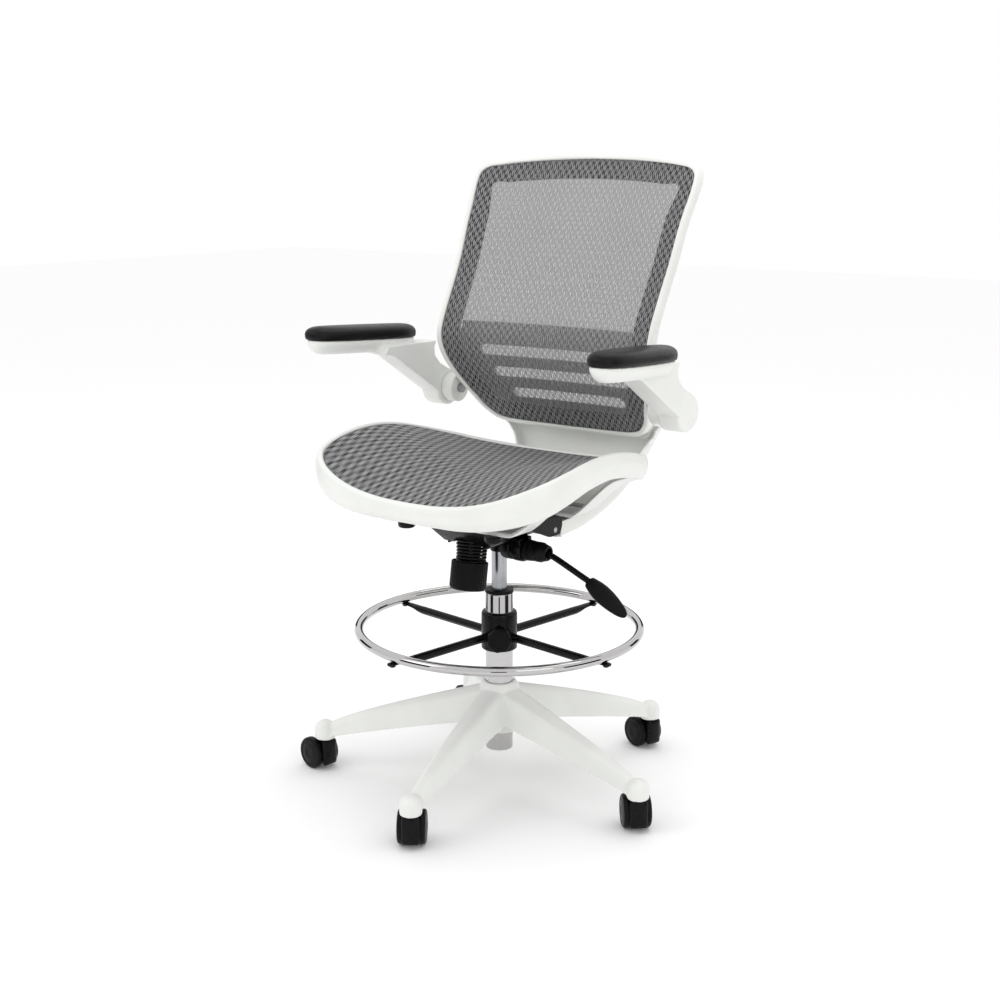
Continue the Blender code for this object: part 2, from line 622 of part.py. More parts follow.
def make_tension_knob(body, down, black):
    """A cup round the spring's lower end, with shallow flutes, hollow below its floor."""
    sides = 24
    turn = [math.tau * i / sides for i in range(sides)]
    end = KNOB_START + KNOB_LENGTH
    bore = BOLT_RADIUS + GAP
    # radius, distance along the bolt and depth of the flutes
    profile = [
        (bore, KNOB_FLOOR, 0), (0.0290, KNOB_FLOOR, 0), (0.0298, KNOB_START, 0), (KNOB_RADIUS, KNOB_START, 0.03),
        (KNOB_RADIUS, end - 0.005, 0.03), (KNOB_RADIUS - 0.003, end, 0.03), (0.0270, end, 0),
        (0.0265, KNOB_FLOOR + 0.003, 0), (0.0090, KNOB_FLOOR + 0.003, 0), (0.0090, end - 0.006, 0),
        (bore, end - 0.006, 0),
    ]
    rings = []
    for radius, height, flute in profile:
        spots = [(radius * (1 - flute * (i % 3 == 0)), t) for i, t in enumerate(turn)]
        rings.append([down @ Vector((r * math.cos(t), r * math.sin(t), height)) for r, t in spots])
    body.add("tension_knob", loft("tension_knob", rings, closed=True), black)


def make_lever(lift, black, steel):
    button_body = Body("release_button", (0, 0, PISTON_TUBE_TOP), lift)
    button_body.add("release_button", lathe("release_button", [
        (0, PISTON_TUBE_TOP - 0.0095), (0.0040, PISTON_TUBE_TOP - 0.0095), (0.0040, 0.4570), (0.0034, 0.4578),
        (0, 0.4578)], 12), steel)

    sleeve_body = Body("lever_sleeve", (LEVER_PIVOT_X, 0, LEVER_Z), lift)
    sideways = axis_frame((0, 0, LEVER_Z), (1, 0, 0))
    sleeve_body.add("lever_sleeve", lathe("lever_sleeve", [
        (0.0085, 0.0605), (0.0190, 0.0605), (0.0190, 0.0740), (0.0150, 0.0750), (0.0150, 0.0800), (0.0180, 0.0810),
        (0.0180, 0.0950), (0.0130, 0.1080), (0.0095, 0.1080),
    ], 20, sideways), black)

    lever_body = Body("lever", (LEVER_PIVOT_X, 0, LEVER_Z), sleeve_body)
    knots = [(-0.006, 0, 0.4640), (0.016, 0, 0.4635), (0.030, 0, 0.4440), (0.046, 0, 0.4305), (0.094, 0, 0.4302),
             (0.112, 0, 0.4270), (0.1272, 0, 0.4216), (0.1780, 0, 0.3995), PADDLE_START,
             PADDLE_START.lerp(PADDLE_TIP, 0.3)]
    rod = tube("lever_rod", smooth(knots, 2), LEVER_ROD_RADIUS, 8)
    lever_body.add("lever_rod", rod, steel)

    along = (PADDLE_TIP - PADDLE_START).normalized()
    # The blade is rolled about its length, so that its face looks up and forwards.
    across = Matrix.Rotation(PADDLE_ROLL, 3, along) @ Vector((0, 1, 0))
    up = along.cross(across)
    rings = []
    for t, half, thick in [(0, 0.0105, 0.0085), (0.12, 0.0132, 0.0090), (0.32, 0.0162, 0.0090),
                           (0.55, 0.0157, 0.0080), (0.78, 0.0124, 0.0064), (0.93, 0.0080, 0.0045),
                           (1.0, 0.0034, 0.0022)]:
        centre = PADDLE_START.lerp(PADDLE_TIP, t)
        turn = [math.tau * (j + 0.5) / 12 for j in range(12)]
        rings.append([centre + across * half * math.cos(a) + up * thick * math.sin(a) for a in turn])
    socket_end = PADDLE_START.lerp(PADDLE_TIP, 0.3) + along * GAP
    socket = tube("socket", [PADDLE_START - along * 0.01, socket_end], LEVER_ROD_RADIUS + 0.0008, 12)
    lever_body.add("lever_paddle", cut(loft("lever_paddle", rings), socket), black)


# ---------------------------------------------------------------- seat

def outward_normals(loop, up=Vector((0, 0, 1))):
    """For each point of a closed loop, the direction away from its middle and square to its run."""
    middle = sum(loop, Vector()) / len(loop)
    normals = []
    for i, point in enumerate(loop):
        along = (loop[(i + 1) % len(loop)] - loop[i - 1]).normalized()
        normal = along.cross(up).normalized()
        normals.append(normal if normal.dot(point - middle) > 0 else -normal)
    return normals


def seat_loop(steps):
    half = smooth(SEAT_EDGE, steps)
    bands = smooth([(b, 0, 0) for b in SEAT_BAND], steps)
    half_bands = [b.x for b in bands]
    return mirrored_loop(half), half_bands + half_bands[-2:0:-1]


def sheet(name, rings, centre, offset):
    """A thin skin over loops of points, one inside the other, and its copy moved by offset."""
    count = len(rings[0])
    levels = len(rings)
    layer = [p for ring in rings for p in ring]
    points = layer + [p + offset for p in layer] + [centre, centre + offset]
    faces = []
    for side in (0, 1):
        for i in range(levels):
            for j in range(count):
                k = (j + 1) % count
                a = side * levels * count + i * count
                if i < levels - 1:
                    face = (a + j, a + k, a + count + k, a + count + j)
                else:
                    face = (a + j, a + k, len(points) - 2 + side)
                faces.append(face if side else face[::-1])
    for j in range(count):
        k = (j + 1) % count
        faces.append((j, k, levels * count + k, levels * count + j))
    return new_mesh(name, points, faces)


def make_seat(seat, plastic, fabric):
    loop, bands = seat_loop(1)
    normals = outward_normals(loop)
    rings = []
    for point, normal, band in zip(loop, normals, bands):
        section = [(GAP, -0.006), (0.001, 0.0015), (0.005, 0.0035), (0.0110, 0.0015), (0.0145, -0.30 * band),
                   (0.0125, -0.68 * band), (0.0050, -band), (-0.001, -band), (0.0065, -0.5 * band)]
        rings.append([point + normal * out + Vector((0, 0, dz)) for out, dz in section])
    frame = loft("seat_frame", rings, closed=True)
    beams = [seat_beam(-0.150, -0.088), seat_beam(0.035, 0.093)]
    seat.add("seat_frame", fuse(frame, *beams), plastic)

    middle = sum(loop, Vector()) / len(loop)

    def seat_ring(share):
        ring = [middle.lerp(point, share) for point in loop]
        for spot, point in zip(ring, loop):
            spot.z = SEAT_MIDDLE + (point.z - 0.002 - SEAT_MIDDLE) * share ** 1.7
        return ring

    rings = [seat_ring(share) for share in (1.0, 0.75, 0.45, 0.20)]
    centre = Vector((middle.x, middle.y, SEAT_MIDDLE))
    seat.add("seat_mesh", sheet("seat_mesh", rings, centre, Vector((0, 0, SHEET_THICK))), fabric)


def rim_at(y):
    """The rim's half width and the height of its lower edge at a depth."""
    width = interpolate([(p[1], p[0]) for p in SEAT_EDGE], y)
    height = interpolate([(p[1], p[2] - band) for p, band in zip(SEAT_EDGE, SEAT_BAND)], y)
    return width, height


def seat_beam(y_low, y_high):
    """A cross beam of the seat frame that dips to rest on the seat plate."""
    floor = PLATE_Z + PLATE_THICK + GAP
    thick = 0.0075
    middle = [(0, floor), (0.110, floor), (0.135, floor + 0.003)]
    sides = []
    for y in (y_low, y_high):
        width, height = rim_at(y)
        sides.append(middle + [(width - 0.035, height - 0.016), (width + 0.003, height + 0.001)])
    rings = []
    for (x_low, z_low), (x_high, z_high) in zip(*sides):
        rings.append([Vector((x_low, y_low, z_low)), Vector((x_high, y_high, z_high)),
                      Vector((x_high, y_high - 0.004, z_high + thick)),
                      Vector((x_low, y_low + 0.004, z_low + thick))])
    mirrored = [[Vector((-p.x, p.y, p.z)) for p in ring] for ring in reversed(rings[1:])]
    return loft("beam", mirrored + rings)


# ---------------------------------------------------------------- backrest

def back_y(x, z, half_width=0.236):
    """Where the backrest's front surface lies."""
    y = interpolate(BACK_DEPTH, z)
    return y + BACK_HOLLOW * (1 - min(1.0, (x / half_width) ** 2))


def back_loop(steps, inset):
    """The backrest's outline, moved in by the inset. Each point heads for the middle, so no corner folds over."""
    half = smooth([(x, 0, z) for x, z in BACK_OUTLINE], steps)
    flat = mirrored_loop(half)
    middle = sum(flat, Vector()) / len(flat)
    loop = []
    for point, normal in zip(flat, outward_normals(flat, Vector((0, 1, 0)))):
        moved = point.lerp(middle, inset / normal.dot(point - middle))
        loop.append(Vector((moved.x, back_y(moved.x, moved.z), moved.z)))
    return loop


def make_back(seat, plastic, fabric, black):
    steps = 1
    rings = []
    edges = [back_loop(steps, inset) for inset in (0.0, 0.0015, BACK_LIP - 0.0015, BACK_LIP, BACK_LIP - 0.002, 0.002)]
    depths = (0.004, 0.0, 0.0, 0.003, BACK_FRAME_DEPTH - 0.003, BACK_FRAME_DEPTH)
    for points in zip(*edges):
        rings.append([p + Vector((0, depth, 0)) for p, depth in zip(points, depths)])
    seat.add("back_frame", loft("back_frame", rings, closed=True), plastic)

    # The border strip lies behind the mesh's outer band, point for point.
    edge = back_loop(steps, BACK_LIP + GAP)
    inner = back_loop(steps, BACK_LIP + BORDER_WIDTH)
    middle = sum(inner, Vector()) / len(inner)

    def back_ring(share):
        ring = [middle.lerp(point, share) for point in inner]
        return [Vector((p.x, back_y(p.x, p.z), p.z)) for p in ring]

    set_back = Vector((0, 0.004, 0))
    rings = [[p + set_back for p in ring] for ring in (edge, inner, back_ring(0.70), back_ring(0.35))]
    centre = Vector((0, back_y(0, middle.z), middle.z)) + set_back
    seat.add("back_mesh", sheet("back_mesh", rings, centre, Vector((0, SHEET_THICK, 0))), fabric)

    front, back = 0.004 + SHEET_THICK + 0.0006, 0.004 + SHEET_THICK + 0.0031
    rings = []
    for a, b in zip(edge, inner):
        rings.append([a + Vector((0, front, 0)), b + Vector((0, front, 0)), b + Vector((0, back, 0)),
                      a + Vector((0, back, 0))])
    seat.add("back_border", loft("back_border", rings, closed=True), black)


def bracket_sections():
    """Frames along the bracket's rear face: the point, the way inwards and the half width."""
    knots = smooth(BRACKET_PATH, 1)
    sections = []
    for i, (y, z, half) in enumerate(knots):
        before, after = knots[max(i - 1, 0)], knots[min(i + 1, len(knots) - 1)]
        along = Vector((0, after[0] - before[0], after[1] - before[1])).normalized()
        inwards = Vector((0, -along.z, along.y))
        sections.append((Vector((0, y, z)), inwards, half))
    return sections


def make_bracket(seat, plastic, steel):
    rings = []
    for point, inwards, half in bracket_sections():
        w, d, t = half, BRACKET_DEPTH, BRACKET_WALL
        section = [(-w + 0.012, 0), (w - 0.012, 0), (w - 0.003, 0.004), (w, 0.012), (w, d), (w - t, d),
                   (w - t, 0.013), (w - 0.014, t), (-w + 0.014, t), (-w + t, 0.013), (-w + t, d), (-w, d),
                   (-w, 0.012), (-w + 0.003, 0.004)]
        rings.append([point + Vector((u, 0, 0)) + inwards * v for u, v in section])
    shapes = [loft("bracket", rings)]
    first_point, first_in, first_half = bracket_sections()[0]
    shapes.append(block("nose", (-first_half, 0.0500, 0.4478), (first_half, 0.0550, 0.4780)))
    screws = [(side * 0.070, 0.082) for side in (-1, 1)]
    for x, y in screws:
        frame = Matrix.Translation((x, y, 0))
        shapes.append(lathe("boss", disc(0.011, 0.4500, PLATE_Z - GAP), 16, frame))
    holes = [lathe("hole", disc(0.0043, 0.43, 0.50), 12, Matrix.Translation((x, y, 0))) for x, y in screws]
    seat.add("back_bracket", cut(fuse(*shapes), *holes), plastic)
    for side_name, (x, y) in zip(("right", "left"), screws):
        profile = [(0, 0.4420), (0.0075, 0.4420), (0.0085, 0.4435), (0.0085, 0.4460), (0.0040, 0.4460),
                   (0.0040, 0.4860), (0, 0.4860)]
        seat.add(f"bracket_screw_{side_name}", lathe("screw", profile, 12, Matrix.Translation((x, y, 0))), steel)


def make_brace(seat, plastic, steel):
    widths = smooth([(w, 0, 0) for w in BRACE_HALF_WIDTHS], 2)
    spine = smooth([(0, y, z) for y, z in BRACE_PATH], 2)
    rings = []
    for i, (point, width) in enumerate(zip(spine, widths)):
        before, after = spine[max(i - 1, 0)], spine[min(i + 1, len(spine) - 1)]
        along = (after - before).normalized()
        rearwards = Vector((0, along.z, -along.y))
        half = width.x
        forward = interpolate([(0.632, 0.010), (0.675, 0.022)], point.z)
        front, back = [], []
        for share in (-1, -0.6, 0, 0.6, 1):
            spot = point + Vector((half * share, -forward * abs(share) ** 2.2, 0))
            front.append(spot)
            back.append(spot + rearwards * BRACE_THICK)
        rings.append(front + back[::-1])
    shapes = [triangulated(loft("brace", rings))]
    for side in (-1, 1):
        knuckle = axis_frame((0, ARM_PIVOT_Y, ARM_PIVOT_Z), (side, 0, 0))
        profile = [(0, 0.2170), (0.0255, 0.2170), (0.0270, 0.2185), (0.0270, ARM_INNER_X - 0.0005),
                   (0, ARM_INNER_X - 0.0005)]
        shapes.append(lathe("knuckle", profile, 20, knuckle))
        # An ear passes behind the back frame to the knuckle, and a lug higher up meets the frame.
        ear = [(0.1725, 0.1967), (0.2175, 0.1967), (0.2175, 0.180), (0.2415, 0.180), (0.2415, 0.205), (0.225, 0.211),
               (0.1725, 0.2113)]
        lug = [(0.188, 0.160), (0.2235, 0.1490), (0.2325, 0.1490), (0.2325, 0.155), (0.205, 0.167), (0.188, 0.167)]
        shapes.append(plate("ear", [(side * x, y) for x, y in ear], 0.6773, 0.7017))
        shapes.append(plate("lug", [(side * x, y) for x, y in lug], 0.768, 0.790))
    cutters = []
    for z, half in BRACE_SLOTS:
        ends = [(half - SLOT_HALF_HEIGHT, z, -90), (-half + SLOT_HALF_HEIGHT, z, 90)]
        outline = []
        for x, height, start in ends:
            for i in range(5):
                angle = math.radians(start + 45 * i)
                outline.append((x + SLOT_HALF_HEIGHT * math.cos(angle), height + SLOT_HALF_HEIGHT * math.sin(angle)))
        frame = Matrix(((1, 0, 0, 0), (0, 0, 1, 0), (0, 1, 0, 0), (0, 0, 0, 1)))
        cutters.append(plate("slot", outline, 0.10, 0.32, frame))
    pin_hole = lathe("pin_hole", disc(PIN_RADIUS + GAP, -0.30, 0.30), 16,
                     axis_frame((0, ARM_PIVOT_Y, ARM_PIVOT_Z), (1, 0, 0)))
    seat.add("lumbar_brace", cut(fuse(*shapes), pin_hole, *cutters), plastic)
    for name, side in (("left", 1), ("right", -1)):
        sideways = axis_frame((0, ARM_PIVOT_Y, ARM_PIVOT_Z), (side, 0, 0))
        profile = [(0, 0.2105), (0.0095, 0.2105), (0.0095, 0.2165), (PIN_RADIUS, 0.2165), (PIN_RADIUS, 0.2800),
                   (0, 0.2800)]
        seat.add(f"arm_pin_{name}", lathe("pin", profile, 16, sideways), steel)


# ---------------------------------------------------------------- arms

def pad_outline(shrink, count=20):
    """A long round-ended shape, wider in front, as (across, forward) points."""
    half, width = PAD_LENGTH / 2 - shrink, PAD_WIDTH / 2 - shrink
    outline = []
    for i in range(count):
        angle = math.tau * i / count
        c, s = math.cos(angle), math.sin(angle)
        forward = half * math.copysign(abs(s) ** 0.75, s)
        taper = 1 - 0.10 * (0.5 - forward / PAD_LENGTH)
        outline.append((width * taper * math.copysign(abs(c) ** 0.75, c), forward))
    return outline


def pad_seam(y):
    """Height of the seam between the pad and its arm."""
    return 0.7818 - 0.0548 * y


def pad_point(side, across, forward, z_above):
    turn = Matrix.Rotation(side * PAD_TOE_OUT, 2)
    flat = turn @ Vector((across * side, -forward)) + Vector((PAD_MIDDLE[0] * side, PAD_MIDDLE[1]))
    return Vector((flat.x, flat.y, pad_seam(flat.y) + z_above))


def make_arm(name, side, seat, plastic, black):
    body = Body(f"arm_{name}", (side * ARM_INNER_X, ARM_PIVOT_Y, ARM_PIVOT_Z), seat)
    levels = [(0.0035, GAP), (0.0005, 0.005), (0.0, 0.011), (0.003, 0.0175), (0.010, 0.0225), (0.022, 0.0250)]
    rings = [[pad_point(side, u, v, z) for u, v in pad_outline(shrink)] for shrink, z in levels]
    body.add(f"arm_pad_{name}", loft("pad", rings), black)

    tray_levels = [(0.0040, 0.0), (0.0045, -0.006), (0.010, -0.018), (0.020, -0.0245)]
    rings = [[pad_point(side, u, v, z) for u, v in pad_outline(shrink)] for shrink, z in tray_levels]
    sideways = Matrix(((0, 0, side, 0), (1, 0, 0, 0), (0, 1, 0, 0), (0, 0, 0, 1)))
    upright = [(-0.020, 0.7560), (0.006, 0.7500), (0.132, 0.6720), (0.160, 0.6700), (0.190, 0.6850), (0.176, 0.7060),
               (0.142, 0.7230), (0.126, 0.7400), (0.124, 0.7560), (0.130, 0.7680), (0.060, 0.7690), (-0.010, 0.7690)]
    boss = lathe("boss", [(0, ARM_INNER_X), (BOSS_RADIUS - 0.002, ARM_INNER_X), (BOSS_RADIUS, ARM_INNER_X + 0.002),
                          (BOSS_RADIUS, ARM_OUTER_X - 0.005), (BOSS_RADIUS - 0.005, ARM_OUTER_X), (0, ARM_OUTER_X)],
                 28, axis_frame((0, ARM_PIVOT_Y, ARM_PIVOT_Z), (side, 0, 0)))
    shape = fuse(loft("tray", rings), plate("upright", upright, ARM_INNER_X + 0.002, ARM_OUTER_X - 0.001, sideways),
                 boss)
    pin_hole = lathe("pin_hole", disc(PIN_RADIUS + GAP, 0.20, 0.2804), 16,
                     axis_frame((0, ARM_PIVOT_Y, ARM_PIVOT_Z), (side, 0, 0)))
    body.add(f"arm_{name}", cut(shape, pin_hole), plastic)


# ---------------------------------------------------------------- assembly

def main():
    for thing in list(bpy.data.objects):
        bpy.data.objects.remove(thing)

    white = make_material("white_plastic", (0.86, 0.87, 0.84), 0.38)
    black = make_material("black_plastic", (0.018, 0.018, 0.020), 0.45)
    painted = make_material("black_steel", (0.022, 0.022, 0.024), 0.40, 0.2)
    rubber = make_material("caster_nylon", (0.020, 0.020, 0.021), 0.50)
    chrome = make_material("chrome", (0.80, 0.80, 0.82), 0.10, 1.0)
    steel = make_material("steel", (0.45, 0.45, 0.47), 0.28, 1.0)
    fabric = make_material("grey_mesh", (0.16, 0.16, 0.17), 0.80)
    vinyl = make_material("black_vinyl", (0.016, 0.015, 0.016), 0.42)

    root = Body("base", (0, 0, 0))
    root.empty.location.z = DATUM
    make_base(root, white)
    make_casters(root, black, rubber, steel)
    rod_body = Body("column_spin", (0, 0, COLUMN_BOTTOM), root)
    lift = Body("seat_lift", (0, 0, PISTON_TUBE_BOTTOM), rod_body)
    make_column(root, rod_body, lift, chrome, steel, black)
    make_foot_ring(root, chrome, painted)
    seat = Body("seat_tilt", (0, TILT_Y, TILT_Z), lift)
    make_mechanism(lift, seat, painted, steel)
    make_lever(lift, black, painted)
    make_seat(seat, white, fabric)
    make_back(seat, white, fabric, black)
    make_bracket(seat, white, painted)
    make_brace(seat, white, steel)
    for name, side in (("left", 1), ("right", -1)):
        make_arm(name, side, seat, white, vinyl)


main()
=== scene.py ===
"""Looks of the drafting chair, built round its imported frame: finer pieces, materials, light and camera.

Metres, +Z up, the sitter faces -Y. As in the part's own source, heights below are measured from the base's
datum plane, DATUM above the floor, and piece() lifts each mesh by that much.
"""

from math import copysign, cos, exp, pi, radians, sin, tau

import bmesh
import bpy
from mathutils import Matrix, Vector


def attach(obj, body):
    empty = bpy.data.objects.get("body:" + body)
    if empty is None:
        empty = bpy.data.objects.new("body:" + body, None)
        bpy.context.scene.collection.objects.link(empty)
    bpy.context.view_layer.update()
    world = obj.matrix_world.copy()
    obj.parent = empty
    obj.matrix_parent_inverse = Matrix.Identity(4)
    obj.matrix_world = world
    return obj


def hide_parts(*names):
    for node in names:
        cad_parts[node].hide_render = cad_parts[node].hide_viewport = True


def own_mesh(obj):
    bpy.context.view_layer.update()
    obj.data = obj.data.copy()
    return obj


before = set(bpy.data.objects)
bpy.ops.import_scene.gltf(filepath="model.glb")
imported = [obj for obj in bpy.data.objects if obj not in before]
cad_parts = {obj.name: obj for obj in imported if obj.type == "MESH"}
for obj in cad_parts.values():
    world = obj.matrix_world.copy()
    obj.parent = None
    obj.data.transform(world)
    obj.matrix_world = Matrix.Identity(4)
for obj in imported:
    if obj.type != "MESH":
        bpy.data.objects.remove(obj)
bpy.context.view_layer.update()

DATUM = 0.0165
GAP = 0.0003
BASE_VOXEL = 0.0019
ARM_VOXEL = 0.0014
CARD_DISTANCE = 2.6
HOLE_RADIUS = 0.0053
PIN_HOLE_RADIUS = 0.0063

# Camera
CAMERA_AZIMUTH = radians(36.3)
CAMERA_ELEVATION = radians(12.71)
CAMERA_DISTANCE = 2.731
CAMERA_AIM = Vector((0, 0, 0.5285))
CAMERA_LENS = 55.15
CAMERA_SHIFT = 0.0007

# Base and casters
FIRST_LEG = radians(63.9)
STEM_CIRCLE = 0.3305
CAP_RADIUS = 0.0195
CAP_BOTTOM = 0.0437
CAP_TOP = 0.079
WHEEL_RADIUS = 0.0295
WHEEL_WIDTH = 0.0145
WHEEL_INNER_FACE = 0.0108
TRAIL = 0.02
CASTER_TRAILS = [161.3, 146.3, 170.3, 124.3, 131.3]  # degrees, in the order of the legs

# Column and foot ring
COLUMN_RADIUS = 0.025
COLUMN_BOTTOM = 0.046
COLUMN_TOP = 0.342
PISTON_RADIUS = 0.014
RING_RADIUS = 0.254
RING_TUBE = 0.0083
RING_Z = 0.278
SPOKE_Z = 0.2635
SPOKE_RADIUS = 0.0075
FIRST_SPOKE = radians(81.3)
CLAMP_DIRECTION = radians(306.3)
CLAMP_Z = 0.2645
CLAMP_RADIUS = 0.0225

# Tilt mechanism
TILT = Vector((0, 0.026, 0.467))
SPRING_TOP = Vector((0, -0.0799, 0.4586))
SPRING_LEAN = radians(9.25)
SPRING_RADIUS = 0.026
SPRING_WIRE = 0.0026
SPRING_PITCH = 0.006
SPRING_TURNS = 12
COIL_RADII = [(0.0, SPRING_RADIUS), (0.027, 0.0246), (0.06, 0.0244), (0.066, 0.0234)]
COIL_LEANS = [(0.0, 0.0), (0.027, 0.0024)]
KNOB_START = 0.0407
KNOB_END = 0.0908
KNOB_RADIUS = 0.0325
LEVER_Z = 0.43
PADDLE_START = Vector((0.192, 0, 0.3931))
PADDLE_TIP = Vector((0.268, 0, 0.3435))
PADDLE_ROLL = radians(40)

# Seat, as half outlines from the front middle to the rear middle
SEAT_EDGE = [(0, -0.25, 0.55), (0.06, -0.2495, 0.552), (0.12, -0.247, 0.56), (0.168, -0.24, 0.573),
    (0.207, -0.226, 0.589), (0.236, -0.198, 0.605), (0.248, -0.155, 0.617), (0.251, -0.1, 0.626),
    (0.25, -0.04, 0.628), (0.247, 0.02, 0.621), (0.241, 0.068, 0.61), (0.228, 0.103, 0.6),
    (0.203, 0.13, 0.591), (0.16, 0.146, 0.583), (0.08, 0.153, 0.578), (0, 0.155, 0.577)]
SEAT_BAND = [0.032, 0.034, 0.04, 0.046, 0.052, 0.055, 0.052, 0.046, 0.042, 0.041, 0.041, 0.04, 0.038, 0.034,
    0.03, 0.03]
SEAT_MIDDLE = 0.579
FRONT_BEAM = (-0.15, -0.088)
REAR_BEAM = (0.035, 0.093)
SHEET_THICK = 0.002
STITCH_WIDTH = 0.0046
PLATE_TOP = 0.49

# Backrest, as (z, y) of the frame's front edge and (half width, z)
BACK_DEPTH = [(0.6, 0.212), (0.64, 0.185), (0.69, 0.15), (0.738, 0.125), (0.778, 0.115), (0.816, 0.125),
    (0.864, 0.149), (0.923, 0.18), (0.988, 0.208), (1.04, 0.235), (1.12, 0.275)]
BACK_HOLLOW = 0.022
BACK_HALF_WIDTH = 0.236
BACK_OUTLINE = [(0, 1.1145), (0.08, 1.1125), (0.15, 1.108), (0.195, 1.103), (0.224, 1.097), (0.24, 1.084),
    (0.244, 1.06), (0.2405, 1.015), (0.2375, 0.96), (0.2345, 0.89), (0.2335, 0.83), (0.2335, 0.775),
    (0.228, 0.738), (0.214, 0.7), (0.197, 0.662), (0.183, 0.634), (0.16, 0.614), (0.12, 0.607), (0, 0.604)]
BACK_LIP = 0.009
BACK_FRAME_DEPTH = 0.027
BORDER_WIDTH = 0.036
BRACKET_PATH = [(0.05, 0.447, 0.1), (0.09, 0.449, 0.101), (0.13, 0.454, 0.103), (0.17, 0.466, 0.107),
    (0.21, 0.485, 0.114), (0.243, 0.512, 0.124), (0.266, 0.545, 0.136), (0.278, 0.578, 0.15),
    (0.279, 0.604, 0.163), (0.273, 0.626, 0.176)]
BRACKET_DEPTH = 0.03
BRACKET_WALL = 0.005
BRACE_PATH = [(0.2662, 0.6), (0.252, 0.632), (0.224, 0.669), (0.197, 0.711), (0.182, 0.752), (0.178, 0.806)]
BRACE_HALF_WIDTHS = [0.15, 0.172, 0.196, 0.212, 0.214, 0.2]
BRACE_THICK = 0.007
BRACE_SLOTS = [(0.669, 0.126), (0.711, 0.15), (0.753, 0.169)]
SLOT_HALF_HEIGHT = 0.01

# Arms
ARM_PIVOT_Y = 0.168
ARM_PIVOT_Z = 0.675
ARM_INNER_X = 0.2425
ARM_OUTER_X = 0.288
BOSS_RADIUS = 0.035
PAD_LENGTH = 0.262
PAD_WIDTH = 0.08
PAD_MIDDLE = (0.292, -0.028)
PAD_TOE_OUT = radians(4.5)


# ---- mesh tools

def new_mesh(points, faces, sharp=35):
    mesh = bpy.data.meshes.new("shape")
    mesh.from_pydata([tuple(p) for p in points], [], faces)
    edit = bmesh.new()
    edit.from_mesh(mesh)
    bmesh.ops.recalc_face_normals(edit, faces=edit.faces)
    if edit.calc_volume(signed=True) < 0:
        bmesh.ops.reverse_faces(edit, faces=edit.faces)
    edit.to_mesh(mesh)
    edit.free()
    mesh.shade_smooth()
    mesh.set_sharp_from_angle(angle=radians(sharp))
    return mesh


def loft(rings, closed=False, sharp=35):
    """Joins equal rings of points one after the other, and caps the two ends unless it is closed."""
    count = len(rings[0])
    points = [p for ring in rings for p in ring]
    faces = []
    for i in range(len(rings) if closed else len(rings) - 1):
        a, b = i * count, ((i + 1) % len(rings)) * count
        for j in range(count):
            k = (j + 1) % count
            faces.append((a + j, a + k, b + k, b + j))
    if not closed:
        faces.append(tuple(range(count)))
        faces.append(tuple(len(points) - count + j for j in range(count)))
    return new_mesh(points, faces, sharp)


def lathe(profile, segments=64, frame_at=None, wobble=None):
    """Turns a closed outline of (radius, height) points about the Z axis of a frame."""
    frame_at = frame_at or Matrix.Identity(4)
    points, rows = [], []
    for radius, height in profile:
        row = []
        for i in range(1 if radius < 1e-6 else segments):
            angle = tau * (i + 0.5) / segments
            r = radius * (wobble(angle, radius) if wobble else 1)
            row.append(len(points))
            points.append(frame_at @ Vector((r * cos(angle), r * sin(angle), height)))
        rows.append(row)
    faces = []
    for i, row in enumerate(rows):
        after = rows[(i + 1) % len(rows)]
        for j in range(segments):
            k = (j + 1) % segments
            if len(row) > 1 and len(after) > 1:
                faces.append((row[j], row[k], after[k], after[j]))
            elif len(row) > 1:
                faces.append((row[j], row[k], after[0]))
            elif len(after) > 1:
                faces.append((row[0], after[k], after[j]))
    return new_mesh(points, faces)


def tube(path, radius, sides=24, closed=False):
    path = [Vector(p) for p in path]
    last = len(path) - 1
    rings, across = [], None
    for i, point in enumerate(path):
        before = path[i - 1] if i or closed else point
        after = path[(i + 1) % len(path)] if i < last or closed else point
        along = (after - before).normalized()
        if across is None:
            across = along.orthogonal().normalized()
        across = (across - along * across.dot(along)).normalized()
        up = along.cross(across)
        turn = [tau * j / sides for j in range(sides)]
        rings.append([point + radius * (across * cos(t) + up * sin(t)) for t in turn])
    return loft(rings, closed)


def plate(outline, low, high, frame_at=None):
    frame_at = frame_at or Matrix.Identity(4)
    return loft([[frame_at @ Vector((u, v, w)) for u, v in outline] for w in (low, high)])


def block(low, high):
    outline = [(low[0], low[1]), (high[0], low[1]), (high[0], high[1]), (low[0], high[1])]
    return plate(outline, low[2], high[2])


def axis_frame(origin, direction):
    turn = Vector(direction).to_track_quat("Z", "Y").to_matrix().to_4x4()
    return Matrix.Translation(Vector(origin)) @ turn


def disc(radius, low, high, edge=0.0006):
    """A cylinder's outline with eased edges, for lathe."""
    return [(0, low), (radius - edge, low), (radius, low + edge), (radius, high - edge),
        (radius - edge, high), (0, high)]


def turned(profile, *details):
    """Like lathe, for an outline that starts and ends on the axis."""
    return lathe([(0, profile[0][1]), *profile, (0, profile[-1][1])], *details)


def rod(radius, low, high, segments, frame_at=None):
    """A plain cylinder about the Z axis of a frame, often used as a cutter."""
    return turned([(radius, low), (radius, high)], segments, frame_at)


def placed(name, data):
    """A new object in the scene."""
    obj = bpy.data.objects.new(name, data)
    bpy.context.scene.collection.objects.link(obj)
    return obj


def evaluated(obj):
    """The object's mesh with its modifiers applied. The object is removed."""
    graph = bpy.context.evaluated_depsgraph_get()
    result = bpy.data.meshes.new_from_object(obj.evaluated_get(graph))
    bpy.data.objects.remove(obj)
    return result


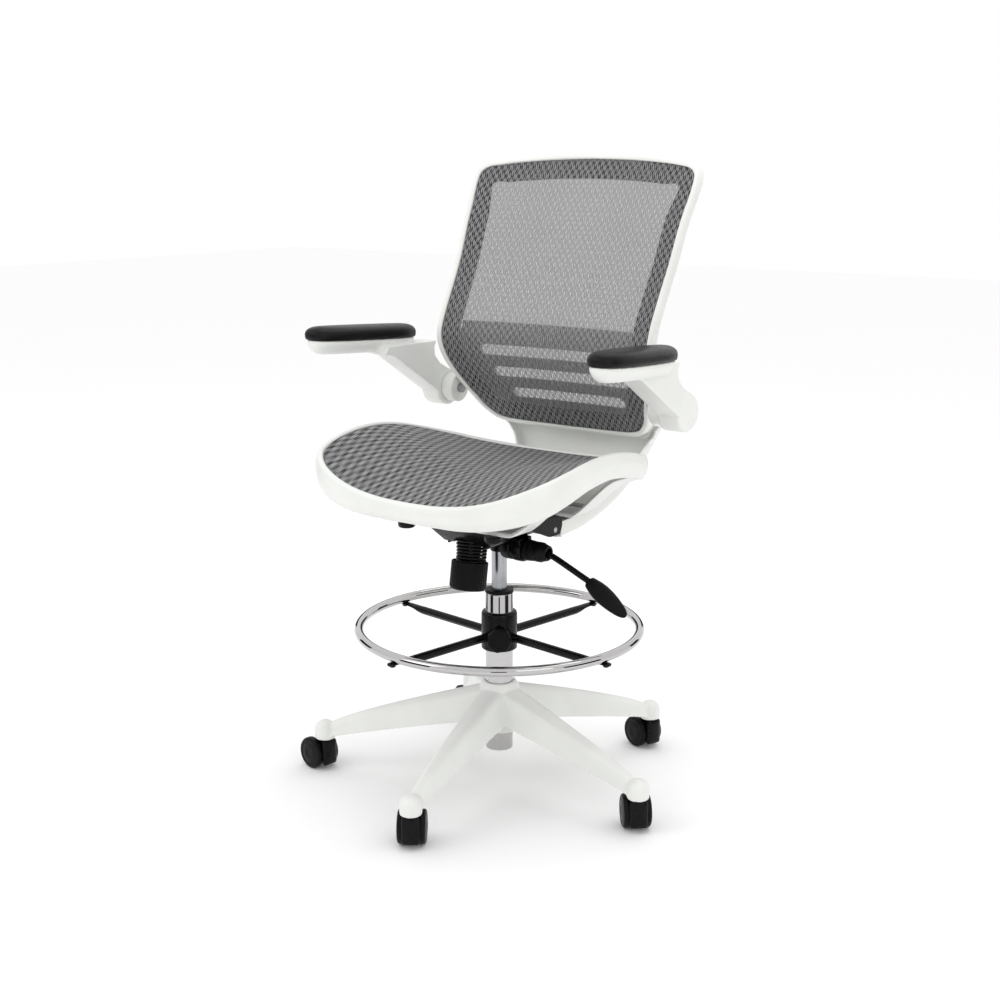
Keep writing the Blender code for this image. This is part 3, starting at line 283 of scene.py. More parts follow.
def combine(meshes, operation):
    """The first mesh with every other one added to it or cut from it."""
    base = placed("temporary", meshes[0])
    helpers = []
    for mesh in meshes[1:]:
        helper = placed("temporary", mesh)
        helpers.append(helper)
        step = base.modifiers.new(operation.lower(), "BOOLEAN")
        step.operation = operation
        step.solver = "EXACT"
        step.object = helper
    result = evaluated(base)
    for helper in helpers:
        bpy.data.objects.remove(helper)
    result.shade_smooth()
    result.set_sharp_from_angle(angle=radians(35))
    return result


def fuse(*meshes):
    return combine(meshes, "UNION")


def cut(*meshes):
    return combine(meshes, "DIFFERENCE")


def melted(meshes, voxel, rounds, cutters=(), thin=None):
    """Overlapping shapes melted into one skin with soft joints. thin is the share of faces kept."""
    joined = bmesh.new()
    for mesh in meshes:
        joined.from_mesh(mesh)
    mesh = bpy.data.meshes.new("shape")
    bmesh.ops.triangulate(joined, faces=joined.faces)
    joined.to_mesh(mesh)
    joined.free()
    obj = placed("temporary", mesh)
    remesh = obj.modifiers.new("remesh", "REMESH")
    remesh.mode = "VOXEL"
    remesh.voxel_size = voxel
    ease = obj.modifiers.new("smooth", "SMOOTH")
    ease.iterations = rounds
    ease.factor = 0.5
    if thin:
        fewer = obj.modifiers.new("decimate", "DECIMATE")
        fewer.ratio = thin
    result = evaluated(obj)
    result.shade_smooth()
    if cutters:
        result = cut(result, *cutters)
    return result


def bevelled(mesh, width, segments=3, angle=35):
    obj = placed("temporary", mesh)
    bevel = obj.modifiers.new("bevel", "BEVEL")
    bevel.width = width
    bevel.segments = segments
    bevel.limit_method = "ANGLE"
    bevel.angle_limit = radians(angle)
    result = evaluated(obj)
    result.shade_smooth()
    result.set_sharp_from_angle(angle=radians(50))
    return result


# ---- curves

def cubic(t, start, leave, end, arrive):
    """A point at t on the curve that leaves start and arrives at end with these slopes."""
    return ((2 * t ** 3 - 3 * t ** 2 + 1) * start + (t ** 3 - 2 * t ** 2 + t) * leave
        + (3 * t ** 2 - 2 * t ** 3) * end + (t ** 3 - t ** 2) * arrive)


def smooth(knots, per_span):
    """Points along a smooth curve through tuples of numbers."""
    knots = [Vector(k) for k in knots]
    padded = [2 * knots[0] - knots[1], *knots, 2 * knots[-1] - knots[-2]]
    points = []
    for i in range(len(knots) - 1):
        a, b, c, d = padded[i:i + 4]
        span = (c - b).length
        leave = (c - a) * (span / max((c - b).length + (b - a).length, 1e-9))
        arrive = (d - b) * (span / max((d - c).length + (c - b).length, 1e-9))
        for step in range(per_span):
            t = step / per_span
            points.append(cubic(t, b, leave, c, arrive))
    return points + [knots[-1]]


def curve_at(table, value):
    """A smooth reading of a table of (key, value) pairs sorted by key."""
    if value <= table[0][0]:
        return table[0][1]
    if value >= table[-1][0]:
        return table[-1][1]
    keys = [k for k, _ in table]
    values = [v for _, v in table]
    i = max(j for j in range(len(keys) - 1) if keys[j] <= value)

    def slope(j):
        low, high = max(j - 1, 0), min(j + 1, len(keys) - 1)
        return (values[high] - values[low]) / (keys[high] - keys[low])

    width = keys[i + 1] - keys[i]
    t = (value - keys[i]) / width
    return cubic(t, values[i], width * slope(i), values[i + 1], width * slope(i + 1))


def mirrored_loop(half):
    other = [Vector((-p[0], *p[1:])) for p in reversed(half[1:-1])]
    return [Vector(p) for p in half] + other


def outward_normals(loop, up=Vector((0, 0, 1))):
    middle = sum(loop, Vector()) / len(loop)
    normals = []
    for i, point in enumerate(loop):
        along = (loop[(i + 1) % len(loop)] - loop[i - 1]).normalized()
        normal = along.cross(up).normalized()
        normals.append(normal if normal.dot(point - middle) > 0 else -normal)
    return normals


def rounded_section(corners, radius, steps=4):
    """A closed outline of (u, v) corners, with each corner turned into an arc-like curve."""
    points = []
    count = len(corners)
    for i, corner in enumerate(corners):
        here = Vector(corner)
        before, after = Vector(corners[i - 1]), Vector(corners[(i + 1) % count])
        reach_in = min(radius, (before - here).length * 0.45)
        reach_out = min(radius, (after - here).length * 0.45)
        start = here + (before - here).normalized() * reach_in
        end = here + (after - here).normalized() * reach_out
        for step in range(steps + 1):
            t = step / steps
            points.append((1 - t) ** 2 * start + 2 * t * (1 - t) * here + t ** 2 * end)
    return [(p.x, p.y) for p in points]


# ---- materials

class Nodes:
    """A new material, with short ways to add its nodes. In a socket's name, _ stands for a space."""

    def __init__(self, name):
        self.material = bpy.data.materials.new(name)
        self.material.use_nodes = True
        self.tree = self.material.node_tree
        self.shader = self.tree.nodes["Principled BSDF"]
        self.coordinates = self.tree.nodes.new("ShaderNodeTexCoord").outputs["Object"]

    def put(self, value, socket):
        """Links another node's output to the socket, or sets a plain value on it."""
        if isinstance(value, bpy.types.NodeSocket):
            self.tree.links.new(value, socket)
        else:
            socket.default_value = value

    def shade(self, node=None, **sockets):
        """Fills sockets of the shader, or of another node."""
        node = node or self.shader
        for name, value in sockets.items():
            self.put(value, node.inputs[name.replace("_", " ")])
        return node

    def add(self, kind, **sockets):
        return self.shade(self.tree.nodes.new("ShaderNode" + kind), **sockets)

    def noise(self, scale, detail=3.0, stretch=(1, 1, 1)):
        mapping = self.add("Mapping", Vector=self.coordinates, Scale=stretch)
        texture = self.add("TexNoise", Vector=mapping.outputs["Vector"], Scale=scale, Detail=detail)
        return texture.outputs["Fac"]

    def math(self, operation, a, b=0.0, c=0.0):
        node = self.add("Math")
        node.operation = operation
        for value, socket in zip((a, b, c), node.inputs):
            self.put(value, socket)
        return node.outputs["Value"]

    def ramp(self, factor, low, high, start=0.0, end=1.0):
        """A colour between low and high as factor goes from start to end."""
        node = self.add("ValToRGB", Fac=factor)
        for element, colour, position in zip(node.color_ramp.elements, (low, high), (start, end)):
            element.position = position
            element.color = (*colour, 1)
        return node.outputs["Color"]

    def span(self, factor, low, high, edges=(0.0, 1.0)):
        """A value between low and high as factor goes from one edge to the other."""
        node = self.add("MapRange", Value=factor, From_Min=edges[0], From_Max=edges[1], To_Min=low,
            To_Max=high)
        return node.outputs["Result"]

    def bump(self, height, strength, distance):
        node = self.add("Bump", Strength=strength, Distance=distance, Height=height)
        self.shade(Normal=node.outputs["Normal"])


def scaled(colour, share):
    return tuple(c * share for c in colour)


def make_plastic(name, colour, roughness, grain, coat=0.0, specular=0.5, grain_size=900):
    """Moulded plastic: faint mottling, a fine grain and uneven gloss."""
    nodes = Nodes(name)
    mottle = nodes.noise(14, 4)
    fine = nodes.noise(grain_size, 2)
    gloss = nodes.noise(60, 5)
    nodes.shade(Base_Color=nodes.ramp(mottle, scaled(colour, 0.955), colour, 0.35, 0.65),
        Roughness=nodes.span(gloss, roughness - 0.06, roughness + 0.06), Specular_IOR_Level=specular,
        Coat_Weight=coat, Coat_Roughness=0.25)
    nodes.bump(fine, grain, 0.0004)
    return nodes.material


def make_metal(name, colour, roughness, spread, stretch=(1, 1, 1), scale=240, bump=0.0):
    """Metal with faint streaks in its colour and gloss."""
    nodes = Nodes(name)
    streaks = nodes.noise(scale, 4, stretch)
    nodes.shade(Base_Color=nodes.ramp(streaks, scaled(colour, 0.93), colour, 0.3, 0.7), Metallic=1.0,
        Roughness=nodes.span(streaks, max(roughness - spread, 0.02), roughness + spread))
    if bump:
        nodes.bump(streaks, bump, 0.0002)
    return nodes.material


def make_knit(name, upright, strand, gap, lean_length, diamond, edges, alpha=None):
    """Knitted mesh: short leaning stitches, darker in staggered diamonds. The seat's lies in X and Y and the
    back's stands in X and Z. diamond is a diamond's width and length, edges the levels of the pattern where
    a gap ends and a stitch is full, and alpha that of the gaps and of the stitches."""
    nodes = Nodes(name)
    x, y, z = nodes.add("SeparateXYZ", Vector=nodes.coordinates).outputs
    do = nodes.math
    along = z if upright else y
    lean = do("PINGPONG", do("DIVIDE", along, lean_length), 1.0)
    column = do("MULTIPLY_ADD", lean, 0.6, do("DIVIDE", x, STITCH_WIDTH))
    stitches = do("SINE", do("MULTIPLY", column, tau))
    across = do("MULTIPLY", x, tau / diamond[0])
    upwards = do("MULTIPLY", along, tau / diamond[1])
    diamonds = do("MULTIPLY", do("SINE", do("ADD", across, upwards)), 0.5)
    diamonds = do("MULTIPLY_ADD", do("SINE", do("SUBTRACT", across, upwards)), 0.5, diamonds)
    jitter = do("MULTIPLY_ADD", nodes.noise(330, 2), 2.4, -1.2)
    level = do("ADD", do("MULTIPLY_ADD", stitches, 0.85, diamonds), jitter)
    thread = nodes.span(level, 0.0, 1.0, edges)
    nodes.shade(Base_Color=nodes.ramp(thread, gap, strand), Roughness=0.62, Specular_IOR_Level=0.25,
        Sheen_Weight=0.12, Sheen_Roughness=0.4)
    nodes.bump(thread, 0.7, 0.0009)
    if alpha:
        nodes.shade(Alpha=nodes.span(thread, *alpha))
    return nodes.material


def make_vinyl(name, colour):
    """Soft moulded pad skin with a fine leather grain."""
    nodes = Nodes(name)
    cells = nodes.add("TexVoronoi", Scale=650, Vector=nodes.coordinates)
    mottle = nodes.noise(35, 4)
    nodes.shade(Base_Color=nodes.ramp(mottle, scaled(colour, 0.75), scaled(colour, 1.25), 0.3, 0.7),
        Roughness=nodes.span(nodes.noise(120, 4), 0.3, 0.44), Specular_IOR_Level=0.18)
    nodes.bump(cells.outputs["Distance"], 0.35, 0.0005)
    return nodes.material


# Each look goes with the name of a slot.
WHITE = make_plastic("white_plastic_look", (0.8, 0.81, 0.78), 0.38, 0.1, coat=0.1), "white_plastic"
BLACK = make_plastic("black_plastic_look", (0.004, 0.004, 0.0043), 0.36, 0.35,
    specular=0.12), "black_plastic"
KNOB = (make_plastic("knob_plastic_look", (0.004, 0.004, 0.0043), 0.42, 0.4, specular=0.1, grain_size=600),
    "black_plastic")
PAINTED = (make_plastic("black_steel_look", (0.0035, 0.0035, 0.0038), 0.26, 0.12, coat=0.03, specular=0.14),
    "black_steel")
NYLON = make_plastic("caster_nylon_look", (0.0035, 0.0035, 0.0038), 0.28, 0.2,
    specular=0.14), "black_plastic"
TREAD = make_plastic("caster_tread_look", (0.0045, 0.0045, 0.0048), 0.34, 0.3,
    specular=0.13), "caster_nylon"
CHROME = make_metal("chrome_look", (0.54, 0.53, 0.53), 0.05, 0.02), "chrome"
STEEL = make_metal("steel_look", (0.42, 0.43, 0.45), 0.24, 0.07, (1, 1, 0.05), 500, 0.15), "steel"
ZINC = make_metal("zinc_look", (0.4, 0.4, 0.41), 0.32, 0.08, (1, 1, 1), 300, 0.2), "steel"
SEAT_KNIT = make_knit("seat_mesh_look", False, (0.33, 0.33, 0.335), (0.002, 0.002, 0.002), 0.02,
    (0.016, 0.04), (-0.3, 0.35)), "grey_mesh"
BACK_KNIT = make_knit("back_mesh_look", True, (0.3, 0.3, 0.305), (0.02, 0.02, 0.02), 0.008,
    (0.0135, 0.0165), (-1.0, 0.45), (0.28, 0.72)), "grey_mesh"
VINYL = make_vinyl("black_vinyl_look", (0.0045, 0.0043, 0.0045)), "black_vinyl"
# Painted shade: a near-black look for the strip behind the back mesh's border, where that border lies in
# shadow.
BORDER_PAINTED_SHADE = make_plastic("painted_shade_border_look", (0.006, 0.006, 0.0065), 0.65, 0.5, specular=0.2), "black_plastic"


# ---- pieces

def piece(name, mesh, look, body, node, location=None, turn=0.0):
    """A piece that stands for a CAD node and rides on its body."""
    material, slot = look
    mesh.materials.clear()
    mesh.materials.append(material)
    if location is None:
        mesh.transform(Matrix.Translation((0, 0, DATUM)))
    obj = placed(name, mesh)
    if location is not None:
        obj.location = Vector(location) + Vector((0, 0, DATUM))
        obj.rotation_euler.z = turn
    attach(obj, body)
    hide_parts(node)
    return obj


# ---- base

def leg_ring(radius, direction):
    """The leg's section at a radius: a channel, open below, with a rounded roof."""
    inner, outer = 0.0275, STEM_CIRCLE - 0.01
    rise = max((outer - radius) / (outer - inner), 0.0)
    top = 0.0737 + 0.0926 * rise ** 0.81
    bottom = 0.0487 + 0.058 * rise ** 0.9
    roof_half = 0.0115 + 0.0135 * rise ** 1.1
    foot_half = 0.015 + 0.019 * rise ** 1.1
    wall = 0.0042
    arc = [pi * i / 12 for i in range(13)]
    side = min(0.012, (top - bottom) * 0.4)
    outside = [(-foot_half, bottom)]
    outside += [(-roof_half * cos(t), top - side + side * sin(t)) for t in arc]
    outside += [(foot_half, bottom)]
    inside = [(foot_half - wall, bottom), (roof_half - wall, top - side - 0.002),
        (-roof_half + wall, top - side - 0.002), (-foot_half + wall, bottom)]
    along = Vector((cos(direction), sin(direction), 0))
    across = Vector((-along.y, along.x, 0))
    return [along * radius + across * u + Vector((0, 0, z)) for u, z in outside + inside]


def make_base():
    bore = COLUMN_RADIUS + 0.0006
    hub = lathe([(0.02, 0.0855), (0.041, 0.0855), (0.044, 0.09), (0.045, 0.098), (0.0445, 0.12),
        (0.041, 0.146), (0.036, 0.163), (0.0328, 0.1715), (0.0315, 0.1745), (0.029, 0.1755),
        (0.02, 0.1755)], 96)
    shapes = [hub]
    for i in range(5):
        direction = FIRST_LEG + tau * i / 5
        stations = [0.0275 + (STEM_CIRCLE - 0.0375) * j / 24 for j in range(25)]
        shapes.append(loft([leg_ring(r, direction) for r in stations]))
        centre = Matrix.Translation((STEM_CIRCLE * cos(direction), STEM_CIRCLE * sin(direction), 0))
        crown = [(CAP_RADIUS * cos(t), 0.0625 + (CAP_TOP - 0.0625) * sin(t))
            for t in [pi / 2 * k / 8 for k in range(9)]]
        socket = [(0, CAP_BOTTOM), (CAP_RADIUS - 0.0012, CAP_BOTTOM),
            (CAP_RADIUS - 0.0004, CAP_BOTTOM + 0.001), *crown]
        socket[-1] = (0, CAP_TOP)
        shapes.append(lathe(socket, 48, centre))
    column_hole = rod(bore, 0.07, 0.2, 96)
    mesh = melted(shapes, BASE_VOXEL, 7, [column_hole], thin=0.6)
    piece("base_star_skin", mesh, WHITE, "base", "base_star")


def wheel_profile():
    """Half of a twin wheel, from its inner face outwards: a rounded tread and a dished outer face."""
    rim, face = WHEEL_RADIUS, WHEEL_WIDTH
    edge = [(rim - 0.0022 + 0.0022 * sin(t), 0.0022 - 0.0022 * cos(t)) for t in (0, 0.5, 1.0, 1.5708)]
    shoulder = [(rim - 0.0045 + 0.0045 * cos(t), face - 0.0055 + 0.0045 * sin(t))
        for t in [pi / 2 * k / 6 for k in range(7)]]
    dish = [(rim - 0.0065, face - 0.0008), (rim - 0.0075, face - 0.0016), (rim - 0.0085, face - 0.0016),
        (rim - 0.01, face - 0.001), (0.012, face - 0.0002), (0.0085, face - 0.0002), (0.0078, face - 0.001),
        (0.0045, face - 0.001), (0, face - 0.0008)]
    return [(0.0034, 0.0), *edge, *shoulder, *dish, (0, face - 0.003), (0.0034, face - 0.003)]


def make_casters():
    stations = [(-0.0175, 0.006, 0.021, 0.052), (-0.0168, 0.009, 0.017, 0.0555),
        (-0.0155, 0.013, 0.013, 0.058), (-0.0138, 0.0148, 0.0108, 0.0588), (-0.012, 0.0152, 0.0098, 0.059),
        (-0.0108, 0.0152, 0.0095, 0.059), (-0.0105, 0.0098, 0.009, 0.059), (0.008, 0.0098, 0.008, 0.059),
        (0.016, 0.0098, 0.008, 0.0578), (0.022, 0.0098, 0.008, 0.0555), (0.029, 0.0096, 0.011, 0.051),
        (0.035, 0.009, 0.015, 0.045), (0.039, 0.008, 0.02, 0.04), (0.041, 0.0065, 0.0245, 0.035)]
    rings = []
    for x, half, low, high in stations:
        tall = (high - low) / 2
        corners = [(-half, -tall), (half, -tall), (half, tall), (-half, tall)]
        outline = rounded_section(corners, min(0.006, half * 0.7), 4)
        rings.append([Vector((x, u, v + (low + high) / 2 - DATUM)) for u, v in outline])
    hood = loft(rings, sharp=50)
    boss = turned([(0.01, 0.02), (0.01, 0.0424), (0.0085, 0.043)], 40)
    hood = fuse(hood, boss)
    axle_z = WHEEL_RADIUS - DATUM
    wheels = {}
    for side in (1, -1):
        outwards = axis_frame((0, side * WHEEL_INNER_FACE, 0), (0, side, 0))
        wheels[side] = lathe(wheel_profile(), 72, outwards)
    stem = lathe(disc(0.0055, 0.0424, 0.044), 32)
    for i, degrees in enumerate(CASTER_TRAILS):
        direction = FIRST_LEG + tau * i / 5
        turn = radians(degrees)
        foot = Vector((STEM_CIRCLE * cos(direction), STEM_CIRCLE * sin(direction), 0))
        axle = foot + Vector((TRAIL * cos(turn), TRAIL * sin(turn), axle_z))
        name = f"caster_{i + 1}"
        piece(f"{name}_hood_shell", hood, NYLON, name, f"{name}_hood", location=foot, turn=turn)
        piece(f"{name}_stem_collar", stem, ZINC, name, f"{name}_stem", location=foot, turn=turn)
        for side_name, side in (("left", 1), ("right", -1)):
            piece(f"{name}_wheel_{side_name}_turned", wheels[side], TREAD, f"{name}_{side_name}",
                f"{name}_wheel_{side_name}", location=axle, turn=turn)
        dress_node(f"{name}_axle")


def dress_node(name):
    """A small inner CAD node that stays, in zinc."""
    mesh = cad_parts[name].data
    mesh.materials.clear()
    mesh.materials.append(ZINC[0])
    mesh.shade_smooth()
    mesh.set_sharp_from_angle(angle=radians(35))


# ---- column and foot ring

def make_column():
    inside = COLUMN_RADIUS - 0.0025
    piece("column_shell", lathe([(0.0075, COLUMN_BOTTOM), (0.0225, COLUMN_BOTTOM),
        (0.0245, COLUMN_BOTTOM + 0.0006), (COLUMN_RADIUS, COLUMN_BOTTOM + 0.002),
        (COLUMN_RADIUS, COLUMN_TOP - 0.001), (0.0245, COLUMN_TOP), (inside, COLUMN_TOP),
        (inside, COLUMN_BOTTOM + 0.004), (0.0075, COLUMN_BOTTOM + 0.004)], 96), CHROME, "base",
        "column_tube")
    guide = PISTON_RADIUS + GAP
    lip = COLUMN_RADIUS + 0.0008
    piece("column_collar", lathe([(guide, 0.25), (inside - GAP, 0.25), (inside - GAP, COLUMN_TOP + GAP),
        (lip - 0.0004, COLUMN_TOP + GAP), (lip, COLUMN_TOP + 0.0008), (lip, 0.3465), (lip - 0.0006, 0.3478),
        (lip - 0.0022, 0.3484), (0.019, 0.3484), (0.018, 0.349), (guide + 0.0006, 0.349), (guide, 0.3484)],
        96), BLACK, "base", "column_bushing")
    piece("piston_tube", lathe([(0.0053, 0.105), (0.013, 0.105), (PISTON_RADIUS, 0.107),
        (PISTON_RADIUS, 0.42), (0.0132, 0.446), (0.0043, 0.446), (0.0043, 0.436), (0.0122, 0.432),
        (0.0122, 0.115), (0.0053, 0.115)], 72), STEEL, "lift", "pressure_tube")
    for name in ("thrust_bearing", "piston_rod", "rod_clip"):
        dress_node(name)


def make_foot_ring():
    circle = [tau * i / 240 for i in range(240)]
    path = [(RING_RADIUS * cos(t), RING_RADIUS * sin(t), RING_Z) for t in circle]
    piece("foot_ring_tube", tube(path, RING_TUBE, 32, closed=True), CHROME, "ring", "foot_ring")

    low, high = 0.237, 0.3085
    sleeve = [(COLUMN_RADIUS + 0.0005, low), (0.0305, low), (0.0325, low + 0.002), (0.0325, high - 0.006),
        (0.0318, high - 0.0035), (0.03, high - 0.0012), (0.0285, high), (COLUMN_RADIUS + 0.0005, high)]
    shapes = [lathe(sleeve, 96)]
    tab_top = RING_Z - RING_TUBE - GAP
    for i in range(4):
        direction = FIRST_SPOKE + pi / 2 * i
        along = Vector((cos(direction), sin(direction), 0))
        across = Vector((-along.y, along.x, 0))
        stations = [(0.0285, SPOKE_RADIUS, SPOKE_RADIUS, SPOKE_Z),
            (0.205, SPOKE_RADIUS, SPOKE_RADIUS, SPOKE_Z), (0.216, 0.0078, 0.0062, SPOKE_Z + 0.0008),
            (0.226, 0.0083, 0.004, SPOKE_Z + 0.0025), (0.236, 0.0086, 0.0026, tab_top - 0.0026),
            (0.258, 0.0086, 0.0026, tab_top - 0.0026), (0.2635, 0.007, 0.0026, tab_top - 0.0026),
            (0.2658, 0.0035, 0.0024, tab_top - 0.0026)]
        rings = []
        for radius, half, tall, z in stations:
            turn = [tau * (j + 0.5) / 24 for j in range(24)]
            rings.append([along * radius + across * half * cos(t) + Vector((0, 0, z + tall * sin(t)))
                for t in turn])
        shapes.append(loft(rings))
        # A weld bead where the spoke meets the sleeve, and a domed screw under the ring
        root = axis_frame(Vector((0, 0, SPOKE_Z)), along)
        shapes.append(turned([(0.0098, 0.0315), (0.0092, 0.0335), (0.008, 0.035)], 24, root))
        head = Matrix.Translation(along * 0.257 + Vector((0, 0, tab_top - 0.0085)))
        shapes.append(lathe([(0, 0), (0.0035, 0.0001), (0.0052, 0.0012), (0.0058, 0.003), (0.0058, 0.006),
            (0, 0.006)], 24, head))
    outwards = Vector((cos(CLAMP_DIRECTION), sin(CLAMP_DIRECTION), 0))
    clamp_frame = axis_frame(Vector((0, 0, CLAMP_Z)), outwards)
    boss = turned([(0.0095, 0.029), (0.0095, 0.0332), (0.0088, 0.0338)], 32, clamp_frame)
    hole = rod(0.0045, 0.02, 0.06, 24, clamp_frame)
    piece("ring_spider_weldment", cut(fuse(*shapes, boss), hole), PAINTED, "ring", "ring_spider")

    def lobed(angle, radius):
        depth = 0.075 if radius > 0.6 * CLAMP_RADIUS else 0.02
        return 1 - depth * (0.5 - 0.5 * cos(7 * angle)) ** 0.8

    r = CLAMP_RADIUS
    knob = turned([(0.5 * r, 0.0343), (0.58 * r, 0.037), (0.86 * r, 0.0385), (0.95 * r, 0.0392), (r, 0.041),
        (r, 0.0492), (0.985 * r, 0.0508), (0.94 * r, 0.0522), (0.86 * r, 0.053), (0.62 * r, 0.0532),
        (0.58 * r, 0.0524), (0.3 * r, 0.0522)], 168, clamp_frame, lobed)
    screw = rod(0.004, 0.0253, 0.04, 24, clamp_frame)
    piece("clamp_grip", fuse(knob, screw), KNOB, "clamp", "clamp_knob")


# ---- tilt mechanism

def make_mechanism():
    low, high, rear = 0.45, 0.483, 0.478
    outer = [[(-0.05, -0.096, low), (0.05, -0.096, low), (0.05, 0.04, low), (-0.05, 0.04, low)],
        [(-0.066, -0.128, high), (0.066, -0.128, high), (0.066, 0.046, rear), (-0.066, 0.046, rear)]]
    wall = 0.0025
    shell = bevelled(loft([[Vector(p) for p in ring] for ring in outer]), 0.005, 4, 25)
    levels = ((outer[0], low + wall, 0.95), (outer[1], high + 0.001, 0.962))
    hollow = loft([[Vector((x * share, y + (wall if y < 0 else -wall), z)) for x, y, _ in ring]
        for ring, z, share in levels])
    tilt_axis = axis_frame(TILT, (1, 0, 0))
    down = axis_frame(SPRING_TOP, (0, -sin(SPRING_LEAN), -cos(SPRING_LEAN)))
    room = rod(0.031, 0.0008, 0.05, 64, down)
    seat_cup = rod(0.0318, -0.004, 0.0008, 64, down)
    collar = turned([(0.015, 0.42), (0.016, 0.421), (0.016, 0.43), (0.0175, 0.4315), (0.0185, 0.44),
        (0.021, 0.454)], 64)
    sideways = axis_frame((0, 0, LEVER_Z), (1, 0, 0))
    boss = lathe([(0, 0.014), (0.018, 0.014), (0.0205, 0.016), (0.0215, 0.02), (0.0215, 0.033),
        (0.0195, 0.0345), (0.0195, 0.04), (0.0222, 0.042), (0.0222, 0.056), (0.0205, 0.0595), (0, 0.06)],
        64, sideways)
    saddle = bevelled(block((0.016, -0.019, 0.436), (0.058, 0.019, low + 0.0015)), 0.002)
    ribs = [bevelled(block((x - 0.0015, -0.094, low - 0.003), (x + 0.0015, -0.045, low + 0.004)), 0.0006, 2)
        for x in (-0.042, 0.042)]
    bore = rod(PISTON_RADIUS + GAP, 0.4, 0.47, 72)
    slot_cut = block((0.0, -0.0075, 0.4185), (0.075, 0.0075, 0.475))
    bolt_hole = rod(0.011, -0.03, 0.02, 40, down)
    shaft_hole = rod(HOLE_RADIUS, -0.12, 0.12, 32, tilt_axis)
    tray = cut(shell, hollow, room)
    housing = cut(fuse(tray, seat_cup, collar, boss, saddle, *ribs), bore, slot_cut, bolt_hole, shaft_hole)
    piece("mechanism_casting", housing, PAINTED, "lift", "mechanism_housing")
    shaft = lathe(disc(0.005, -0.1045, 0.1045), 32, tilt_axis)
    piece("pivot_pin", shaft, ZINC, "lift", "pivot_shaft")

    # The coil leans to the rear, because the knob moves that way as the seat tilts and closes round it.
    rearwards = down.to_3x3().inverted() @ Vector((0, 1, 0))
    steps = SPRING_TURNS * 36
    coil = []
    for i in range(steps + 1):
        angle = tau * SPRING_TURNS * i / steps
        height = SPRING_WIRE + 0.0011 + SPRING_PITCH * SPRING_TURNS * i / steps
        radius = interpolate(COIL_RADII, height)
        lean = rearwards * interpolate(COIL_LEANS, height)
        coil.append(down @ (Vector((radius * cos(angle), radius * sin(angle), height)) + lean))
    spring = piece("tension_coil", tube(coil, SPRING_WIRE, 12), PAINTED, "lift", "tension_spring")
    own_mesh(spring)
    make_tension_knob(down)
    make_seat_plate()
    dress_node("tension_bolt")


def make_tension_knob(down):
    def fluted(angle, radius):
        return 1 - (0.02 * abs(cos(18 * angle)) ** 3 if radius > KNOB_RADIUS - 0.0025 else 0)

    r, start, end = KNOB_RADIUS, KNOB_START, KNOB_END
    knob = lathe([(0.0043, 0.0785), (0.029, 0.0785), (0.0296, 0.07), (0.0299, start + 0.001),
        (0.0303, start), (r - 0.0012, start), (r - 0.0003, start + 0.0006), (r, start + 0.002),
        (r, end - 0.006), (r - 0.0008, end - 0.003), (r - 0.0026, end - 0.0008), (r - 0.0045, end),
        (0.0275, end), (0.0265, 0.0815), (0.009, 0.0815), (0.009, end - 0.006), (0.0043, end - 0.006)], 216,
        down, fluted)
    piece("tension_cap", knob, KNOB, "knob", "tension_knob")


def make_seat_plate():
    top = PLATE_TOP
    flat = [(-0.066, -0.112), (-0.08, -0.152), (-0.094, -0.161), (-0.108, -0.152), (-0.11, -0.136),
        (-0.104, -0.095), (-0.104, 0.125)]
    flat = flat + [(-x, y) for x, y in reversed(flat)]
    shapes = [plate(rounded_section(flat, 0.01, 4), top - 0.003, top)]
    feet = []
    for side in (-1, 1):
        x_low, x_high = sorted((side * 0.104, side * 0.101))
        profile = [(-0.048, 0.48), (0.008, 0.457), (0.04, 0.457), (0.047, 0.47), (0.047, 0.489),
            (-0.06, 0.489)]
        frame_at = Matrix(((0, 0, 1, 0), (1, 0, 0, 0), (0, 1, 0, 0), (0, 0, 0, 1)))
        flange = plate(rounded_section(profile, 0.006, 4), x_low, x_high, frame_at)
        hole = rod(HOLE_RADIUS, -0.12, 0.12, 32, axis_frame(TILT, (1, 0, 0)))
        shapes.append(cut(flange, hole))
        foot = Matrix.Translation((side * 0.0944, -0.1447, 0))
        feet.append(turned([(0.0035, 0.477), (0.004, 0.4785), (0.0105, 0.4785), (0.012, 0.4775),
            (0.014, 0.4785), (0.0155, 0.4812), (0.0155, 0.4885)], 40, foot))
    hole = rod(0.0078, 0.48, 0.5, 40, Matrix.Translation((0, -0.0739, 0)))
    piece("seat_plate_pressing", cut(fuse(*shapes, *feet), hole), PAINTED, "seat", "seat_plate")


